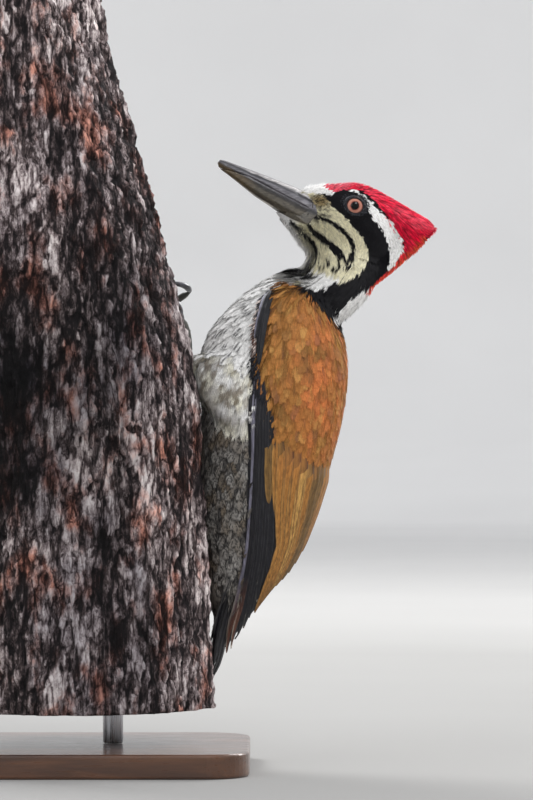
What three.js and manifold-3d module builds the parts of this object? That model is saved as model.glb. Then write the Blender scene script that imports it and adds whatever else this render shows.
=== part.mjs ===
// A crested woodpecker, life size, clinging to a short length of trunk that is held on a plain display stand.
// Millimetres, +Z up. The origin is the middle of the stand's underside. The bird faces -X, where the trunk is.
// The bird and its head are groups of their own: the head's axes start at the eyes, with the bill towards -X.

import * as THREE from 'three';
import { mergeVertices } from 'three/addons/utils/BufferGeometryUtils.js';
import Module from 'manifold-3d';

const wasm = await Module();
wasm.setup();

// ---------------------------------------------------------------- driving sizes

const GAP = 0.3;

const BASE_LENGTH = 200;
const BASE_WIDTH = 148;
const BASE_THICKNESS = 12;
const BASE_CORNER = 24;
const BASE_BEVEL = 1.5;

const ROD_RADIUS = 5;
const ROD_SPACING = 64;
const ROD_IN_LOG = 12;

const LOG_BOTTOM = 30;
const LOG_TOP = 382;
const LOG_RADIUS = 66;
const LOG_SIDES = 48;
const LOG_RINGS = 10;
const LOG_CROWDING = 0.55;
// How far the log's axis stands from its own middle plane, at each height.
const LOG_AXIS = [[30, 34], [65, 30.5], [100, 29], [150, 27], [200, 22.5], [225, 17.5], [250, 11], [272, 6.5],
  [300, -2.5], [340, -14], [382, -24]];
const BARK_RIDGES = 13;
const BARK_DEPTH = 2;
// One tall ridge beside the bird, and the furrow next to it that the bird's near foot grips: height, the angle
// round the log and the width, in radians.
const TALL_RIDGE = { height: 4.4, angle: -0.13, width: 0.085 };
const FOOT_FURROW = { height: -1.6, angle: 0.1, width: 0.12 };
// Beside the bird the other ridges are lower: the angle over which they rise to their full height.
const CALM_ANGLE = 1.1;
const CALM_SHARE = 0.15;

// The trunk and the bird stand this far forward, which puts their weight over the middle of the base.
const FORWARD = 20;
const BIRD_ASIDE = 14;
const PALM_RADIUS = 2.9;

const HEAD_PITCH = 27.8;
const EYE_AT = [172.2, 279];
const EYE_RADIUS = 5.2;
const EYE_SPREAD = 10.8;
// The line between the upper and the lower bill, from the gape to the tip.
const COMMISSURE = [[-6, -11.6], [-54, -11.2], [-61, -12.5], [-76, -16]];

const COLOURS = {
  crimson: 0xc81e3c,
  cream: 0xcfc8a8,
  black: 0x1c1a1e,
  scaled: 0xb9b4ac,
  gold: 0xb0762c,
  slate: 0x2b2a30,
  horn: 0x55524f,
  iris: 0xc4826e,
  skin: 0x5c5a58,
  claw: 0x2f2c2b,
  bark: 0x5a4638,
  steel: 0xb8bcc0,
  lacquer: 0x26211d,
};

// ---------------------------------------------------------------- shaping helpers

function mix(a, b, share) {
  return a + (b - a) * share;
}

function catmullRom(a, b, c, d, t) {
  const pull = (c - a) * t;
  const bend = (2 * a - 5 * b + 4 * c - d) * t * t;
  const turn = (3 * b - a - 3 * c + d) * t * t * t;
  return b + (pull + bend + turn) / 2;
}

// The row at share t of a list of rows of numbers, on a smooth curve through all of them.
function rowAt(rows, t) {
  const place = t * (rows.length - 1);
  const i = Math.min(Math.floor(place), rows.length - 2);
  const before = rows[Math.max(i - 1, 0)];
  const after = rows[Math.min(i + 2, rows.length - 1)];
  return rows[i].map((v, k) => catmullRom(before[k], v, rows[i + 1][k], after[k], place - i));
}

// A closed ball-like surface whose every point comes from place(along, around), both from 0 to 1.
function ball(sides, rings, place) {
  const geometry = new THREE.SphereGeometry(1, sides, rings);
  const { position, uv } = geometry.attributes;
  for (let i = 0; i < position.count; i += 1) {
    const along = 1 - uv.getY(i);
    const atPole = along < 1e-6 || along > 1 - 1e-6;
    const around = atPole ? 0 : uv.getX(i) % 1;
    position.setXYZ(i, ...place(along, around).toArray());
  }
  return geometry;
}

function bare(geometry) {
  const copy = geometry.clone();
  copy.deleteAttribute('normal');
  copy.deleteAttribute('uv');
  return mergeVertices(copy, 1e-4);
}

// A closed geometry as a solid that can be joined and cut; one whose faces point inwards is turned round.
function solid(geometry) {
  const merged = bare(geometry);
  const vertProperties = new Float32Array(merged.attributes.position.array);
  const triVerts = new Uint32Array(merged.index.array);
  const made = new wasm.Manifold(new wasm.Mesh({ numProp: 3, vertProperties, triVerts }));
  if (made.volume() > 0) return made;
  for (let i = 0; i < triVerts.length; i += 3) {
    [triVerts[i + 1], triVerts[i + 2]] = [triVerts[i + 2], triVerts[i + 1]];
  }
  return new wasm.Manifold(new wasm.Mesh({ numProp: 3, vertProperties, triVerts }));
}

function geometryOf(manifold) {
  const mesh = manifold.getMesh();
  const geometry = new THREE.BufferGeometry();
  geometry.setAttribute('position', new THREE.BufferAttribute(mesh.vertProperties, 3));
  geometry.setIndex(new THREE.BufferAttribute(mesh.triVerts, 1));
  geometry.computeVertexNormals();
  return geometry;
}

function meshOf(name, manifold, colour, roughness, metalness = 0) {
  const material = new THREE.MeshStandardMaterial({ color: COLOURS[colour], roughness, metalness });
  const mesh = new THREE.Mesh(geometryOf(manifold), material);
  mesh.name = name;
  return mesh;
}

// Rows made larger by grow all round: the two ends move out along the form, and each section widens.
function grownRows(rows, grow) {
  return rows.map((row, i) => {
    const [ax, az, bx, bz, half, ...aside] = row;
    if (i === 0 || i === rows.length - 1) {
      const near = rows[i === 0 ? 1 : i - 1];
      const inward = new THREE.Vector2((near[0] + near[2]) / 2 - ax, (near[1] + near[3]) / 2 - az);
      inward.setLength(grow);
      return [ax - inward.x, az - inward.y, bx - inward.x, bz - inward.y, half, ...aside];
    }
    const across = new THREE.Vector2(bx - ax, bz - az).setLength(grow);
    return [ax - across.x, az - across.y, bx + across.x, bz + across.y, half + grow, ...aside];
  });
}

// A solid of flesh from rows of [front x, front z, back x, back z, half width, middle y]. Its sections are
// ovals that reach from the front point to the back point and half width to each side of the middle, which is
// y = 0 where none is given. A lean above 0 makes the back end wider.
function flesh(rows, { sides = 16, rings = 14, lean = 0, grow = 0, squareness = 2 } = {}) {
  const used = grow ? grownRows(rows, grow) : rows;
  const power = 2 / squareness;
  const place = (along, around) => {
    const [ax, az, bx, bz, half, middle = 0] = rowAt(used, along);
    const angle = around * 2 * Math.PI;
    const depth = Math.sign(Math.cos(angle)) * Math.abs(Math.cos(angle)) ** power;
    const side = Math.sign(Math.sin(angle)) * Math.abs(Math.sin(angle)) ** power;
    const share = (1 + depth) / 2;
    const y = middle + side * Math.max(half, 0) * (1 + lean * depth);
    return new THREE.Vector3(mix(ax, bx, share), y, mix(az, bz, share));
  };
  return solid(ball(sides, rings, place));
}

// A round limb along a smooth curve through points, its radius following the radii from end to end, and its
// ends rounded off.
function limb(points, radii, { sides = 8, rings = 8, grow = 0 } = {}) {
  const curve = new THREE.CatmullRomCurve3(points.map((p) => new THREE.Vector3(...p)));
  const rows = radii.map((r) => [r + grow]);
  const aside = new THREE.Vector3(0, 1, 0.2).normalize();
  const endShare = 0.25;
  const endSwell = 2.2;
  const place = (along, around) => {
    const centre = curve.getPoint(along);
    const tangent = curve.getTangent(along);
    if (along === 0 || along === 1) return centre.addScaledVector(tangent, along ? grow : -grow);
    const side = new THREE.Vector3().crossVectors(tangent, aside).normalize();
    const up = new THREE.Vector3().crossVectors(side, tangent);
    const angle = around * 2 * Math.PI;
    const [radius] = rowAt(rows, along);
    const round = radius * Math.min(1, Math.sin(along * Math.PI) * endSwell + endShare);
    return centre.addScaledVector(side, round * Math.cos(angle)).addScaledVector(up, round * Math.sin(angle));
  };
  return solid(ball(sides, rings, place));
}

// A slab whose outline lies in the side plane (x, z) and which runs from y = from to y = to.
function sideSlab(outline, from, to) {
  const shape = new THREE.Shape(outline.map(([x, z]) => new THREE.Vector2(x, z)));
  const geometry = new THREE.ExtrudeGeometry(shape, { depth: to - from, bevelEnabled: false });
  geometry.rotateX(Math.PI / 2);
  geometry.translate(0, to, 0);
  return solid(geometry);
}

// A slab whose outline lies in the back plane (y, z) and which runs from x = from to x = to.
function backSlab(outline, from, to) {
  const shape = new THREE.Shape(outline.map(([y, z]) => new THREE.Vector2(y, z)));
  const geometry = new THREE.ExtrudeGeometry(shape, { depth: to - from, bevelEnabled: false });
  geometry.rotateX(Math.PI / 2);
  geometry.rotateZ(Math.PI / 2);
  geometry.translate(from, 0, 0);
  return solid(geometry);
}

function joined(solids) {
  return solids.reduce((all, one) => all.add(one));
}

function cutBy(target, ...tools) {
  return tools.reduce((left, tool) => left.subtract(tool), target);
}

function moved(manifold, matrix) {
  return solid(geometryOf(manifold).applyMatrix4(matrix));
}

function mirrored(manifold) {
  return moved(manifold, new THREE.Matrix4().makeScale(1, -1, 1));
}

// ---------------------------------------------------------------- trunk and stand

function logAxisAt(z) {
  const last = LOG_AXIS.length - 1;
  const i = Math.max(0, LOG_AXIS.findLastIndex(([height], k) => k < last && height <= z));
  const share = (z - LOG_AXIS[i][0]) / (LOG_AXIS[i + 1][0] - LOG_AXIS[i][0]);
  const before = LOG_AXIS[Math.max(i - 1, 0)][1];
  const after = LOG_AXIS[Math.min(i + 2, last)][1];
  return catmullRom(before, LOG_AXIS[i][1], LOG_AXIS[i + 1][1], after, share);
}

function swell({ height, angle, width }, at) {
  return height * Math.exp(-(((at - angle) / width) ** 2));
}

// The bark's radius at an angle round the log: ridges that wander a little with height, and the two beside
// the bird.
function logRadiusAt(angle, z) {
  const wander = Math.sin(z / 41) + 0.6 * Math.sin(z / 17 + 2);
  const ridges = Math.sin(BARK_RIDGES * angle + wander) + 0.5 * Math.sin(2 * BARK_RIDGES * angle + z / 23);
  const calm = Math.min(1, CALM_SHARE + (angle / CALM_ANGLE) ** 2);
  return LOG_RADIUS + BARK_DEPTH * ridges * calm + swell(TALL_RIDGE, angle) + swell(FOOT_FURROW, angle);
}

function logSurface(angle, z, grow = 0) {
  const radius = logRadiusAt(angle, z) + grow;
  return new THREE.Vector3(logAxisAt(z) + radius * Math.cos(angle), radius * Math.sin(angle), z);
}

// The log's sides crowd towards the bird, where the bark has the most shape.
function logSolid(grow = 0, aside = 0) {
  const bottom = LOG_BOTTOM - grow;
  const top = LOG_TOP + grow;
  const geometry = new THREE.CylinderGeometry(1, 1, 1, LOG_SIDES, LOG_RINGS);
  geometry.rotateX(Math.PI / 2);
  const { position } = geometry.attributes;
  for (let i = 0; i < position.count; i += 1) {
    const z = mix(bottom, top, position.getZ(i) + 0.5);
    const reach = Math.hypot(position.getX(i), position.getY(i));
    if (reach < 0.5) {
      position.setXYZ(i, logAxisAt(z), 0, z);
    } else {
      const angle = Math.atan2(position.getY(i), position.getX(i));
      const crowded = angle - LOG_CROWDING * Math.sin(angle);
      position.setXYZ(i, ...logSurface(crowded, z, grow).toArray());
    }
  }
  geometry.translate(0, aside, 0);
  return solid(geometry);
}

function rodSolid(side, grow = 0) {
  const length = LOG_BOTTOM + ROD_IN_LOG - BASE_THICKNESS - GAP;
  const geometry = new THREE.CylinderGeometry(ROD_RADIUS + grow, ROD_RADIUS + grow, length + 2 * grow, 16);
  geometry.rotateX(Math.PI / 2);
  geometry.translate(FORWARD + (side * ROD_SPACING) / 2, 0, BASE_THICKNESS + GAP + length / 2);
  return solid(geometry);
}

function baseSolid() {
  const x = BASE_LENGTH / 2 - BASE_BEVEL;
  const y = BASE_WIDTH / 2 - BASE_BEVEL;
  const r = BASE_CORNER;
  const shape = new THREE.Shape();
  shape.moveTo(-x + r, -y);
  shape.lineTo(x - r, -y);
  shape.absarc(x - r, -y + r, r, -Math.PI / 2, 0);
  shape.lineTo(x, y - r);
  shape.absarc(x - r, y - r, r, 0, Math.PI / 2);
  shape.lineTo(-x + r, y);
  shape.absarc(-x + r, y - r, r, Math.PI / 2, Math.PI);
  shape.lineTo(-x, -y + r);
  shape.absarc(-x + r, -y + r, r, Math.PI, 1.5 * Math.PI);
  const geometry = new THREE.ExtrudeGeometry(shape, {
    depth: BASE_THICKNESS - 2 * BASE_BEVEL,
    bevelThickness: BASE_BEVEL,
    bevelSize: BASE_BEVEL,
    bevelSegments: 1,
    curveSegments: 4,
  });
  geometry.translate(0, 0, BASE_BEVEL);
  return solid(geometry);
}

// ---------------------------------------------------------------- head, in the head's own axes

const HEAD_ROWS = [
  [-33.5, -14.5, -33.5, -14.5, 0],
  [-27.6, -4.1, -35.4, -20.4, 5.4],
  [-22, 0.8, -29, -23.6, 7.6],
  [-14.5, 6, -22, -26.4, 10.4],
  [-7.5, 9.6, -16.5, -29.4, 14.2],
  [0, 12, -9.5, -32, 15.9],
  [8, 12.2, -0.5, -33.5, 16.6],
  [15.5, 9.8, 9, -32, 15.8],
  [21, 3.5, 17, -26, 12.6],
  [24.2, -6, 22.5, -18, 7],
  [25, -12, 25, -12, 0],
];

const CREST_ROWS = [
  [-15, 5.4, -15, 5.4, 0],
  [-8, 4.5, -7.6, 10.3, 6.2],
  [1, 2, 0.8, 12.9, 10.6],
  [8, -2, 14, 13, 11],
  [13, -6, 29, 12.2, 9],
  [17, -10, 41, 10.6, 6],
  [19, -15, 39, -1, 6.4],
  [21, -21, 35.2, -12.5, 6],
  [22, -27, 31, -23, 5],
  [26, -34, 26, -34, 0],
];

const BILL_ROWS = [
  [-9, -12.5, -9, -12.5, 0],
  [-14, -6.4, -14, -18, 9.4],
  [-21, -5.2, -21, -20, 9.5],
  [-29, -4.9, -30, -20.2, 7.7],
  [-37, -5.8, -37, -19.4, 6],
  [-48.6, -7, -47.7, -18.3, 4.3],
  [-59, -8.4, -58.5, -16.1, 3.1],
  [-66.5, -9.5, -65.2, -14.9, 2.2],
  [-70.2, -10.2, -68.6, -14.4, 1.5],
  [-70.9, -12.2, -70.9, -12.2, 0],
];

function headForm(grow = 0) {
  return flesh(HEAD_ROWS, { sides: 18, rings: 15, lean: 0.04, grow });
}

function billForm(grow = 0) {
  return flesh(BILL_ROWS, { sides: 12, rings: 11, grow, squareness: 2.15 });
}

function eyeSolid(side, grow = 0) {
  const geometry = new THREE.SphereGeometry(EYE_RADIUS + grow, 12, 8);
  geometry.translate(0, side * EYE_SPREAD, 0);
  return solid(geometry);
}

// One half of the bill: the part of its form on one side of the line between the two halves.
function billHalf(upper) {
  const edge = COMMISSURE.map(([x, z]) => [x, z + (upper ? GAP : 0)]);
  const wellClear = upper ? 20 : -50;
  const outline = [...edge, [COMMISSURE.at(-1)[0], wellClear], [COMMISSURE[0][0], wellClear]];
  return billForm().intersect(sideSlab(outline, -15, 15));
}

function headSolid() {
  return cutBy(headForm(), billForm(GAP), eyeSolid(-1, GAP), eyeSolid(1, GAP));
}

function crestForm(grow = 0) {
  return flesh(CREST_ROWS, { sides: 12, rings: 14, lean: -0.3, grow });
}

// ---------------------------------------------------------------- trunk of the body, neck, wings and tail

const NECK_ROWS = [
  [148, 224, 148, 224, 0],
  [134, 237, 157, 215, 15.5],
  [140.5, 244.8, 164, 219.6, 17.6],
  [145.8, 250, 173, 227, 17.4],
  [147.6, 255, 180, 234.5, 16.8],
  [147.5, 262, 184, 243, 16.2],
  [151, 270, 185, 254, 14],
  [170, 268, 170, 268, 0],
];

const BODY_ROWS = [
  [147, 249.4, 147, 249.4, 0],
  [137, 247.6, 157, 239.5, 13],
  [123.5, 240.8, 162, 231.5, 21],
  [111.5, 231, 164.8, 222, 26.4],
  [99.8, 218, 167.7, 212, 29.2],
  [94.6, 204, 169.2, 200, 30.2],
  [95.6, 186, 168.2, 186, 29.8],
  [94.6, 166, 163.8, 168, 28.2],
  [94, 146, 157.4, 150, 25.4],
  [94, 126, 149.5, 131, 21.8],
  [96, 106, 139.6, 112, 17.2],
  [98.5, 88, 128, 95, 12.2],
  [101.5, 75, 116, 80, 7.2],
  [106.5, 68, 106.5, 68, 0],
];

// What is left of the body under the closed wings.
const CORE_ROWS = [
  [148, 246, 148, 246, 0],
  [134, 242, 153, 236, 11],
  [117, 234, 157, 228, 19.2],
  [104, 222, 160.6, 216, 25.2],
  [96, 206, 163.4, 204, 28],
  [92, 186, 163.2, 187, 28.2],
  [91.5, 166, 159.4, 168, 26.8],
  [92.5, 146, 153.2, 150, 24],
  [94, 126, 145.4, 131, 20.4],
  [96.5, 106, 136.2, 112, 16],
  [99, 88, 125.4, 95, 11.2],
  [101.5, 74, 115, 80, 6.6],
  [105, 64, 105, 64, 0],
];

const WING_ROWS = [
  [148, 250.5, 148, 250.5, 0],
  [132, 244.5, 158, 241, 15.5],
  [122, 238.5, 162.8, 232.8, 23.6],
  [111, 230, 165.4, 222, 29.2],
  [105, 217, 168.3, 211, 32],
  [100, 203, 169.9, 199, 33.2],
  [98, 186, 169.2, 186, 33],
  [98, 166, 165.7, 168.5, 31.4],
  [99, 146, 160.4, 150.5, 28.6],
  [100, 126, 155, 131.5, 25],
  [100, 106, 147.6, 112, 20.6],
  [100, 88, 138.1, 94.5, 15.8],
  [101, 74, 126, 80, 11],
  [102, 62, 114.8, 66, 6.6],
  [107, 54.5, 107, 54.5, 0],
];

// The closed wing seen from the side: shoulder, back, tips of the inner feathers, wing tip, leading edge and
// wrist.
const WING_OUTLINE = [
  [137.5, 243],
  [147, 242],
  [156, 237.5],
  [166, 225],
  [185, 214],
  [185, 110],
  [137, 88.5],
  [131, 83.5],
  [122, 75],
  [115.5, 64.5],
  [108.6, 56],
  [106.4, 59],
  [110.5, 72],
  [115, 86],
  [118, 108],
  [120, 132],
  [121.6, 156],
  [120, 182],
  [119.4, 205],
  [121.5, 221],
  [126.5, 233],
];

const WING_MIDDLE = [145, 150];

// The inner edge of the left wing seen from behind: the mantle shows above, and lower down the wings meet.
const MANTLE_EDGE = [
  [-60, 260],
  [-13, 260],
  [-12.5, 222],
  [-8.5, 196],
  [-3, 172],
  [-GAP / 2, 156],
  [-GAP / 2, 40],
  [-60, 40],
];

const TAIL_ROWS = [
  [117, 108, 117, 108, 0],
  [110.5, 99, 119, 102, 9],
  [104.8, 84, 112, 86, 12.5],
  [101.6, 70, 107.2, 71, 14.6],
  [100, 59, 104.4, 59, 13.4],
  [99.8, 50, 103, 49.6, 8.4],
  [101, 42.4, 101, 42.4, 0],
];

function neckForm(grow = 0) {
  return flesh(NECK_ROWS, { sides: 16, rings: 10, grow });
}

function bodyForm(grow = 0) {
  return flesh(BODY_ROWS, { sides: 20, rings: 16, grow, squareness: 2.1 });
}

function coreForm(grow = 0) {
  return flesh(CORE_ROWS, { sides: 18, rings: 13, grow, squareness: 2.1 });
}

function tailForm(grow = 0) {
  return flesh(TAIL_ROWS, { sides: 14, rings: 9, grow, squareness: 2.5 });
}

// The space of the left wing, a little larger with grow: the sweep of its outline, from far out to the mantle.
function wingSpace(grow = 0) {
  const [middleX, middleZ] = WING_MIDDLE;
  const wider = WING_OUTLINE.map(([x, z]) => {
    const out = new THREE.Vector2(x - middleX, z - middleZ);
    const share = (out.length() + grow) / out.length();
    return [middleX + out.x * share, middleZ + out.y * share];
  });
  const edge = MANTLE_EDGE.map(([y, z]) => [y < -50 ? y : y + grow, z]);
  return sideSlab(wider, -50, 10).intersect(backSlab(edge, 60, 220));
}

function wingSolid() {
  const outer = flesh(WING_ROWS, { sides: 24, rings: 18, squareness: 2.1 });
  return cutBy(outer.intersect(wingSpace()), coreForm(GAP), tailForm(GAP));
}

function bodySolid() {
  const underWing = wingSpace(GAP).subtract(coreForm());
  return cutBy(bodyForm(), underWing, mirrored(underWing), tailForm(GAP));
}

// ---------------------------------------------------------------- legs, feet and claws

// The feathered part of each leg: rows of [top x, top z, bottom x, bottom z, half width, middle y].
const NEAR_LEG_ROWS = [
  [127, 190, 127, 190, 0, -20],
  [119, 207, 121, 167, 8.5, -22.5],
  [108, 207.5, 111, 167.5, 9.6, -21.5],
  [97.5, 206.5, 101, 175, 8.6, -17.5],
  [91, 204.5, 94, 184, 6.6, -13.5],
  [88.5, 197, 88.5, 197, 0, -12],
];
const FAR_LEG_ROWS = [
  [127, 190, 127, 190, 0, 20],
  [118, 206, 121, 168, 8.5, 23],
  [106, 205, 110, 170, 9, 24.5],
  [95, 203.5, 99, 178, 7.6, 25],
  [85, 203, 88, 188, 5.4, 24.5],
  [82.5, 196, 82.5, 196, 0, 24],
];

// A point at a height off the bark, by its distance y from the trunk's middle plane and its height z.
function onBark(y, z, off) {
  const angle = Math.asin(y / LOG_RADIUS);
  const at = logSurface(angle, z, off);
  return [at.x, at.y - BIRD_ASIDE, at.z];
}

// Each foot: where the toes meet, the ankle, and each toe's knuckles and claw tip as [y, z, height off the
// bark].
const NEAR_FOOT = {
  ankle: [93, -12.5, 192],
  palm: [4.5, 203, 3.4],
  toes: [
    { path: [[7.5, 213, 4.6], [10, 222, 3.6]], claw: [11, 231, 0.4], radius: 1.75 },
    { path: [[3.4, 214, 4.8], [2.8, 225, 3.6]], claw: [2.6, 235, 0.4], radius: 1.85 },
    { path: [[3, 195, 5], [2.2, 187, 4.6]], claw: [1.6, 177.5, 0.6], radius: 1.75 },
    { path: [[8.5, 198, 3.4], [11.6, 194, 2.8]], claw: [14, 188, 0.4], radius: 1.5 },
  ],
};
const FAR_FOOT = {
  ankle: [84.5, 24.5, 197],
  palm: [37, 219, 4],
  toes: [
    { path: [[32, 230.5, 8], [24.5, 237.8, 17.6]], claw: [17, 241.4, 0.6], radius: 1.85 },
    { path: [[38.5, 232, 5.6], [40, 243, 4]], claw: [41, 253, 0.6], radius: 1.85 },
    { path: [[44.5, 224, 5.4], [51.5, 228, 4]], claw: [57, 232, 0.6], radius: 1.75 },
    { path: [[39.5, 212, 4.4], [41.5, 206, 3.4]], claw: [43, 199, 0.6], radius: 1.5 },
  ],
};

function toePoints(foot, toe) {
  return [foot.palm, ...toe.path].map((p) => onBark(...p));
}

function toeSolid(foot, toe, grow = 0) {
  const r = toe.radius;
  return limb(toePoints(foot, toe), [r * 1.1, r, r * 1.08, r * 0.86], { sides: 6, rings: 5, grow });
}

function footForm(foot, grow = 0) {
  const palm = onBark(...foot.palm);
  const shank = limb([foot.ankle, palm], [2.6, 2.3, 2.6], { sides: 6, rings: 4, grow });
  const pad = new THREE.SphereGeometry(PALM_RADIUS + grow, 7, 5);
  pad.translate(...palm);
  return joined([shank, solid(pad), ...foot.toes.map((toe) => toeSolid(foot, toe, grow))]);
}

// A claw arches from the toe's last knuckle down to its tip in the bark.
function clawForm(foot, toe, grow = 0) {
  const [base, knuckle] = toePoints(foot, toe).slice(-2).map((p) => new THREE.Vector3(...p));
  const tip = new THREE.Vector3(...onBark(...toe.claw));
  const start = knuckle.clone().lerp(base, 0.12);
  const lift = knuckle.clone().sub(base).setLength(toe.radius * 1.3);
  const arch = new THREE.Vector3(1.1, 0, 0);
  const middle = knuckle.clone().lerp(tip, 0.45).add(lift.multiplyScalar(0.5)).add(arch);
  const points = [start, middle, tip].map((p) => p.toArray());
  return limb(points, [toe.radius * 0.82, toe.radius * 0.7, 0.5], { sides: 6, rings: 5, grow });
}

// ---------------------------------------------------------------- the model

function buildHead() {
  const group = new THREE.Group();
  group.position.set(EYE_AT[0], 0, EYE_AT[1]);
  group.rotation.y = THREE.MathUtils.degToRad(HEAD_PITCH);
  group.updateMatrix();
  group.add(
    meshOf('head', headSolid(), 'cream', 0.85),
    meshOf('crest', crestForm().subtract(headForm(GAP)), 'crimson', 0.8),
    meshOf('bill_upper', billHalf(true), 'horn', 0.4),
    meshOf('bill_lower', billHalf(false), 'horn', 0.4),
    meshOf('eye_left', eyeSolid(-1), 'iris', 0.1),
    meshOf('eye_right', eyeSolid(1), 'iris', 0.1),
  );
  return group;
}

// The feathered leg with its foot and claws.
function buildLeg(side, rows, foot, neighbours, logGrown) {
  const footGrown = footForm(foot, GAP);
  const clawsGrown = joined(foot.toes.map((toe) => clawForm(foot, toe, GAP)));
  const leg = cutBy(flesh(rows, { sides: 14, rings: 10 }), ...neighbours, logGrown, footGrown, clawsGrown);
  const meshes = [
    meshOf(`leg_${side}`, leg, 'scaled', 0.85),
    meshOf(`foot_${side}`, footForm(foot).subtract(logGrown), 'skin', 0.7),
  ];
  foot.toes.forEach((toe, i) => {
    meshes.push(meshOf(`claw_${side}_${i + 1}`, cutBy(clawForm(foot, toe), footGrown, logGrown), 'claw', 0.3));
  });
  return meshes;
}

function buildBird(logGrown) {
  const group = new THREE.Group();
  group.position.y = BIRD_ASIDE;
  const head = buildHead();
  const headAll = moved(joined([headForm(GAP), crestForm(GAP)]), head.matrix);
  const wings = joined([wingSpace(GAP), mirrored(wingSpace(GAP))]);
  const wing = wingSolid();
  const neck = cutBy(neckForm(), headAll, bodyForm(GAP), wings);
  const besideLegs = [bodyForm(GAP), wings];
  group.add(
    head,
    meshOf('neck', neck, 'black', 0.85),
    meshOf('body', cutBy(bodySolid(), logGrown), 'scaled', 0.85),
    meshOf('wing_left', wing, 'gold', 0.75),
    meshOf('wing_right', mirrored(wing), 'gold', 0.75),
    meshOf('tail', cutBy(tailForm(), logGrown), 'slate', 0.7),
    ...buildLeg('left', NEAR_LEG_ROWS, NEAR_FOOT, besideLegs, logGrown),
    ...buildLeg('right', FAR_LEG_ROWS, FAR_FOOT, besideLegs, logGrown),
  );
  return group;
}

function buildModel() {
  const model = new THREE.Group();
  const perch = new THREE.Group();
  const sides = [-1, 1];
  perch.position.x = -FORWARD;
  perch.add(
    ...sides.map((side, i) => meshOf(`stand_rod_${i + 1}`, rodSolid(side), 'steel', 0.3, 1)),
    meshOf('perch_log', cutBy(logSolid(), ...sides.map((side) => rodSolid(side, GAP))), 'bark', 0.95),
    buildBird(logSolid(GAP, -BIRD_ASIDE)),
  );
  model.add(meshOf('stand_base', baseSolid(), 'lacquer', 0.45), perch);
  return model;
}

const model = buildModel();

export default model;
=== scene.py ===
"""A crested woodpecker, life size, clinging to a short length of trunk on a plain display stand.

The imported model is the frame. One skin replaces its solids of flesh, and feathers of real mesh lie over it:
small ones over the whole bird, flight feathers on the closed wings and a stiff tail. The bill, eyes, lids,
claws, log, rods and base are pieces of their own. Shapes are worked out in millimetres, and the meshes are
made in metres.
"""

import math
from functools import cache

import bmesh
import bpy
import numpy as np
from bpy.props import FloatProperty, FloatVectorProperty, PointerProperty
from mathutils import Matrix, Vector, noise
from mathutils.bvhtree import BVHTree


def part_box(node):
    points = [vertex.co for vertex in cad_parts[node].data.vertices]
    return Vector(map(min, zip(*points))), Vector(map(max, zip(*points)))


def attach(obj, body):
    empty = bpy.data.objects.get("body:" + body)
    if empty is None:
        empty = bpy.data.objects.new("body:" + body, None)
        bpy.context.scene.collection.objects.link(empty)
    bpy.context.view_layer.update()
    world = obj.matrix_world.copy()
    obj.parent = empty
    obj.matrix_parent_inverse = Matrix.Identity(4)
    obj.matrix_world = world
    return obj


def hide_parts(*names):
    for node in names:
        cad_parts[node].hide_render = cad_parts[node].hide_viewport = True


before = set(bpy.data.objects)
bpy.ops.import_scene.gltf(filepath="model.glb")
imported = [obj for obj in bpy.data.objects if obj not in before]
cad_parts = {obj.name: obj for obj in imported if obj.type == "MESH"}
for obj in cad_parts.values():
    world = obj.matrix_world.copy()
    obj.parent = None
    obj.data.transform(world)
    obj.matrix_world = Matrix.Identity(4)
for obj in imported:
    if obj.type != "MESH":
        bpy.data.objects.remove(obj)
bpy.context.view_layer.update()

bl_info = {
    "name": "Woodpecker Display Model",
    "version": (1, 0, 0),
    "blender": (4, 5, 0),
    "location": "View3D > Sidebar > Woodpecker",
    "description": "Builds a woodpecker in plumage on its perch and stand, around its packed solids",
    "category": "Object",
}

MM = 0.001
SEED = 71

FLESH = (
    "head", "crest", "neck", "body", "wing_left", "wing_right", "tail", "leg_left", "leg_right",
    "foot_left", "foot_right",
)


def box_mm(node):
    low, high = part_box(node)
    return np.array(low) / MM, np.array(high) / MM


def middle_mm(node):
    low, high = box_mm(node)
    return (low + high) / 2


# ---- the bird's own axes

HEAD_PITCH = math.radians(27.8)
EYES = {-1: middle_mm("eye_left"), 1: middle_mm("eye_right")}
EYE_MIDDLE = (EYES[-1] + EYES[1]) / 2
BIRD_Y = float(EYE_MIDDLE[1])
EYE_RADIUS = float((box_mm("eye_left")[1] - box_mm("eye_left")[0])[2] / 2)


def on_head(back, up):
    """The side-view place (x, z) of a point given in the head's axes, which start at the eyes."""
    x = EYE_MIDDLE[0] + back * math.cos(HEAD_PITCH) + up * math.sin(HEAD_PITCH)
    z = EYE_MIDDLE[2] - back * math.sin(HEAD_PITCH) + up * math.cos(HEAD_PITCH)
    return x, z


def head_axes(points):
    """Points as distances back from the eyes, aside from the middle plane and up from the eyes."""
    d = points - EYE_MIDDLE
    back = d[:, 0] * math.cos(HEAD_PITCH) - d[:, 2] * math.sin(HEAD_PITCH)
    up = d[:, 0] * math.sin(HEAD_PITCH) + d[:, 2] * math.cos(HEAD_PITCH)
    return back, d[:, 1], up


def head_direction(back, up):
    """A way in the side view, given in the head's axes."""
    x = back * math.cos(HEAD_PITCH) + up * math.sin(HEAD_PITCH)
    z = -back * math.sin(HEAD_PITCH) + up * math.cos(HEAD_PITCH)
    return x, z


def unit(vectors):
    return vectors / np.maximum(np.linalg.norm(vectors, axis=-1, keepdims=True), 1e-9)


def display(red, green, blue):
    """A colour given as it looks on a screen, from 0 to 255, as the linear light that materials use."""
    share = np.array([red, green, blue]) / 255
    light = np.where(share <= 0.04045, share / 12.92, ((share + 0.055) / 1.055) ** 2.4)
    return tuple(float(c) for c in light)


def held(values):
    """Values kept between 0 and 1."""
    return np.clip(values, 0, 1)


# ---- surfaces to build on


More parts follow.
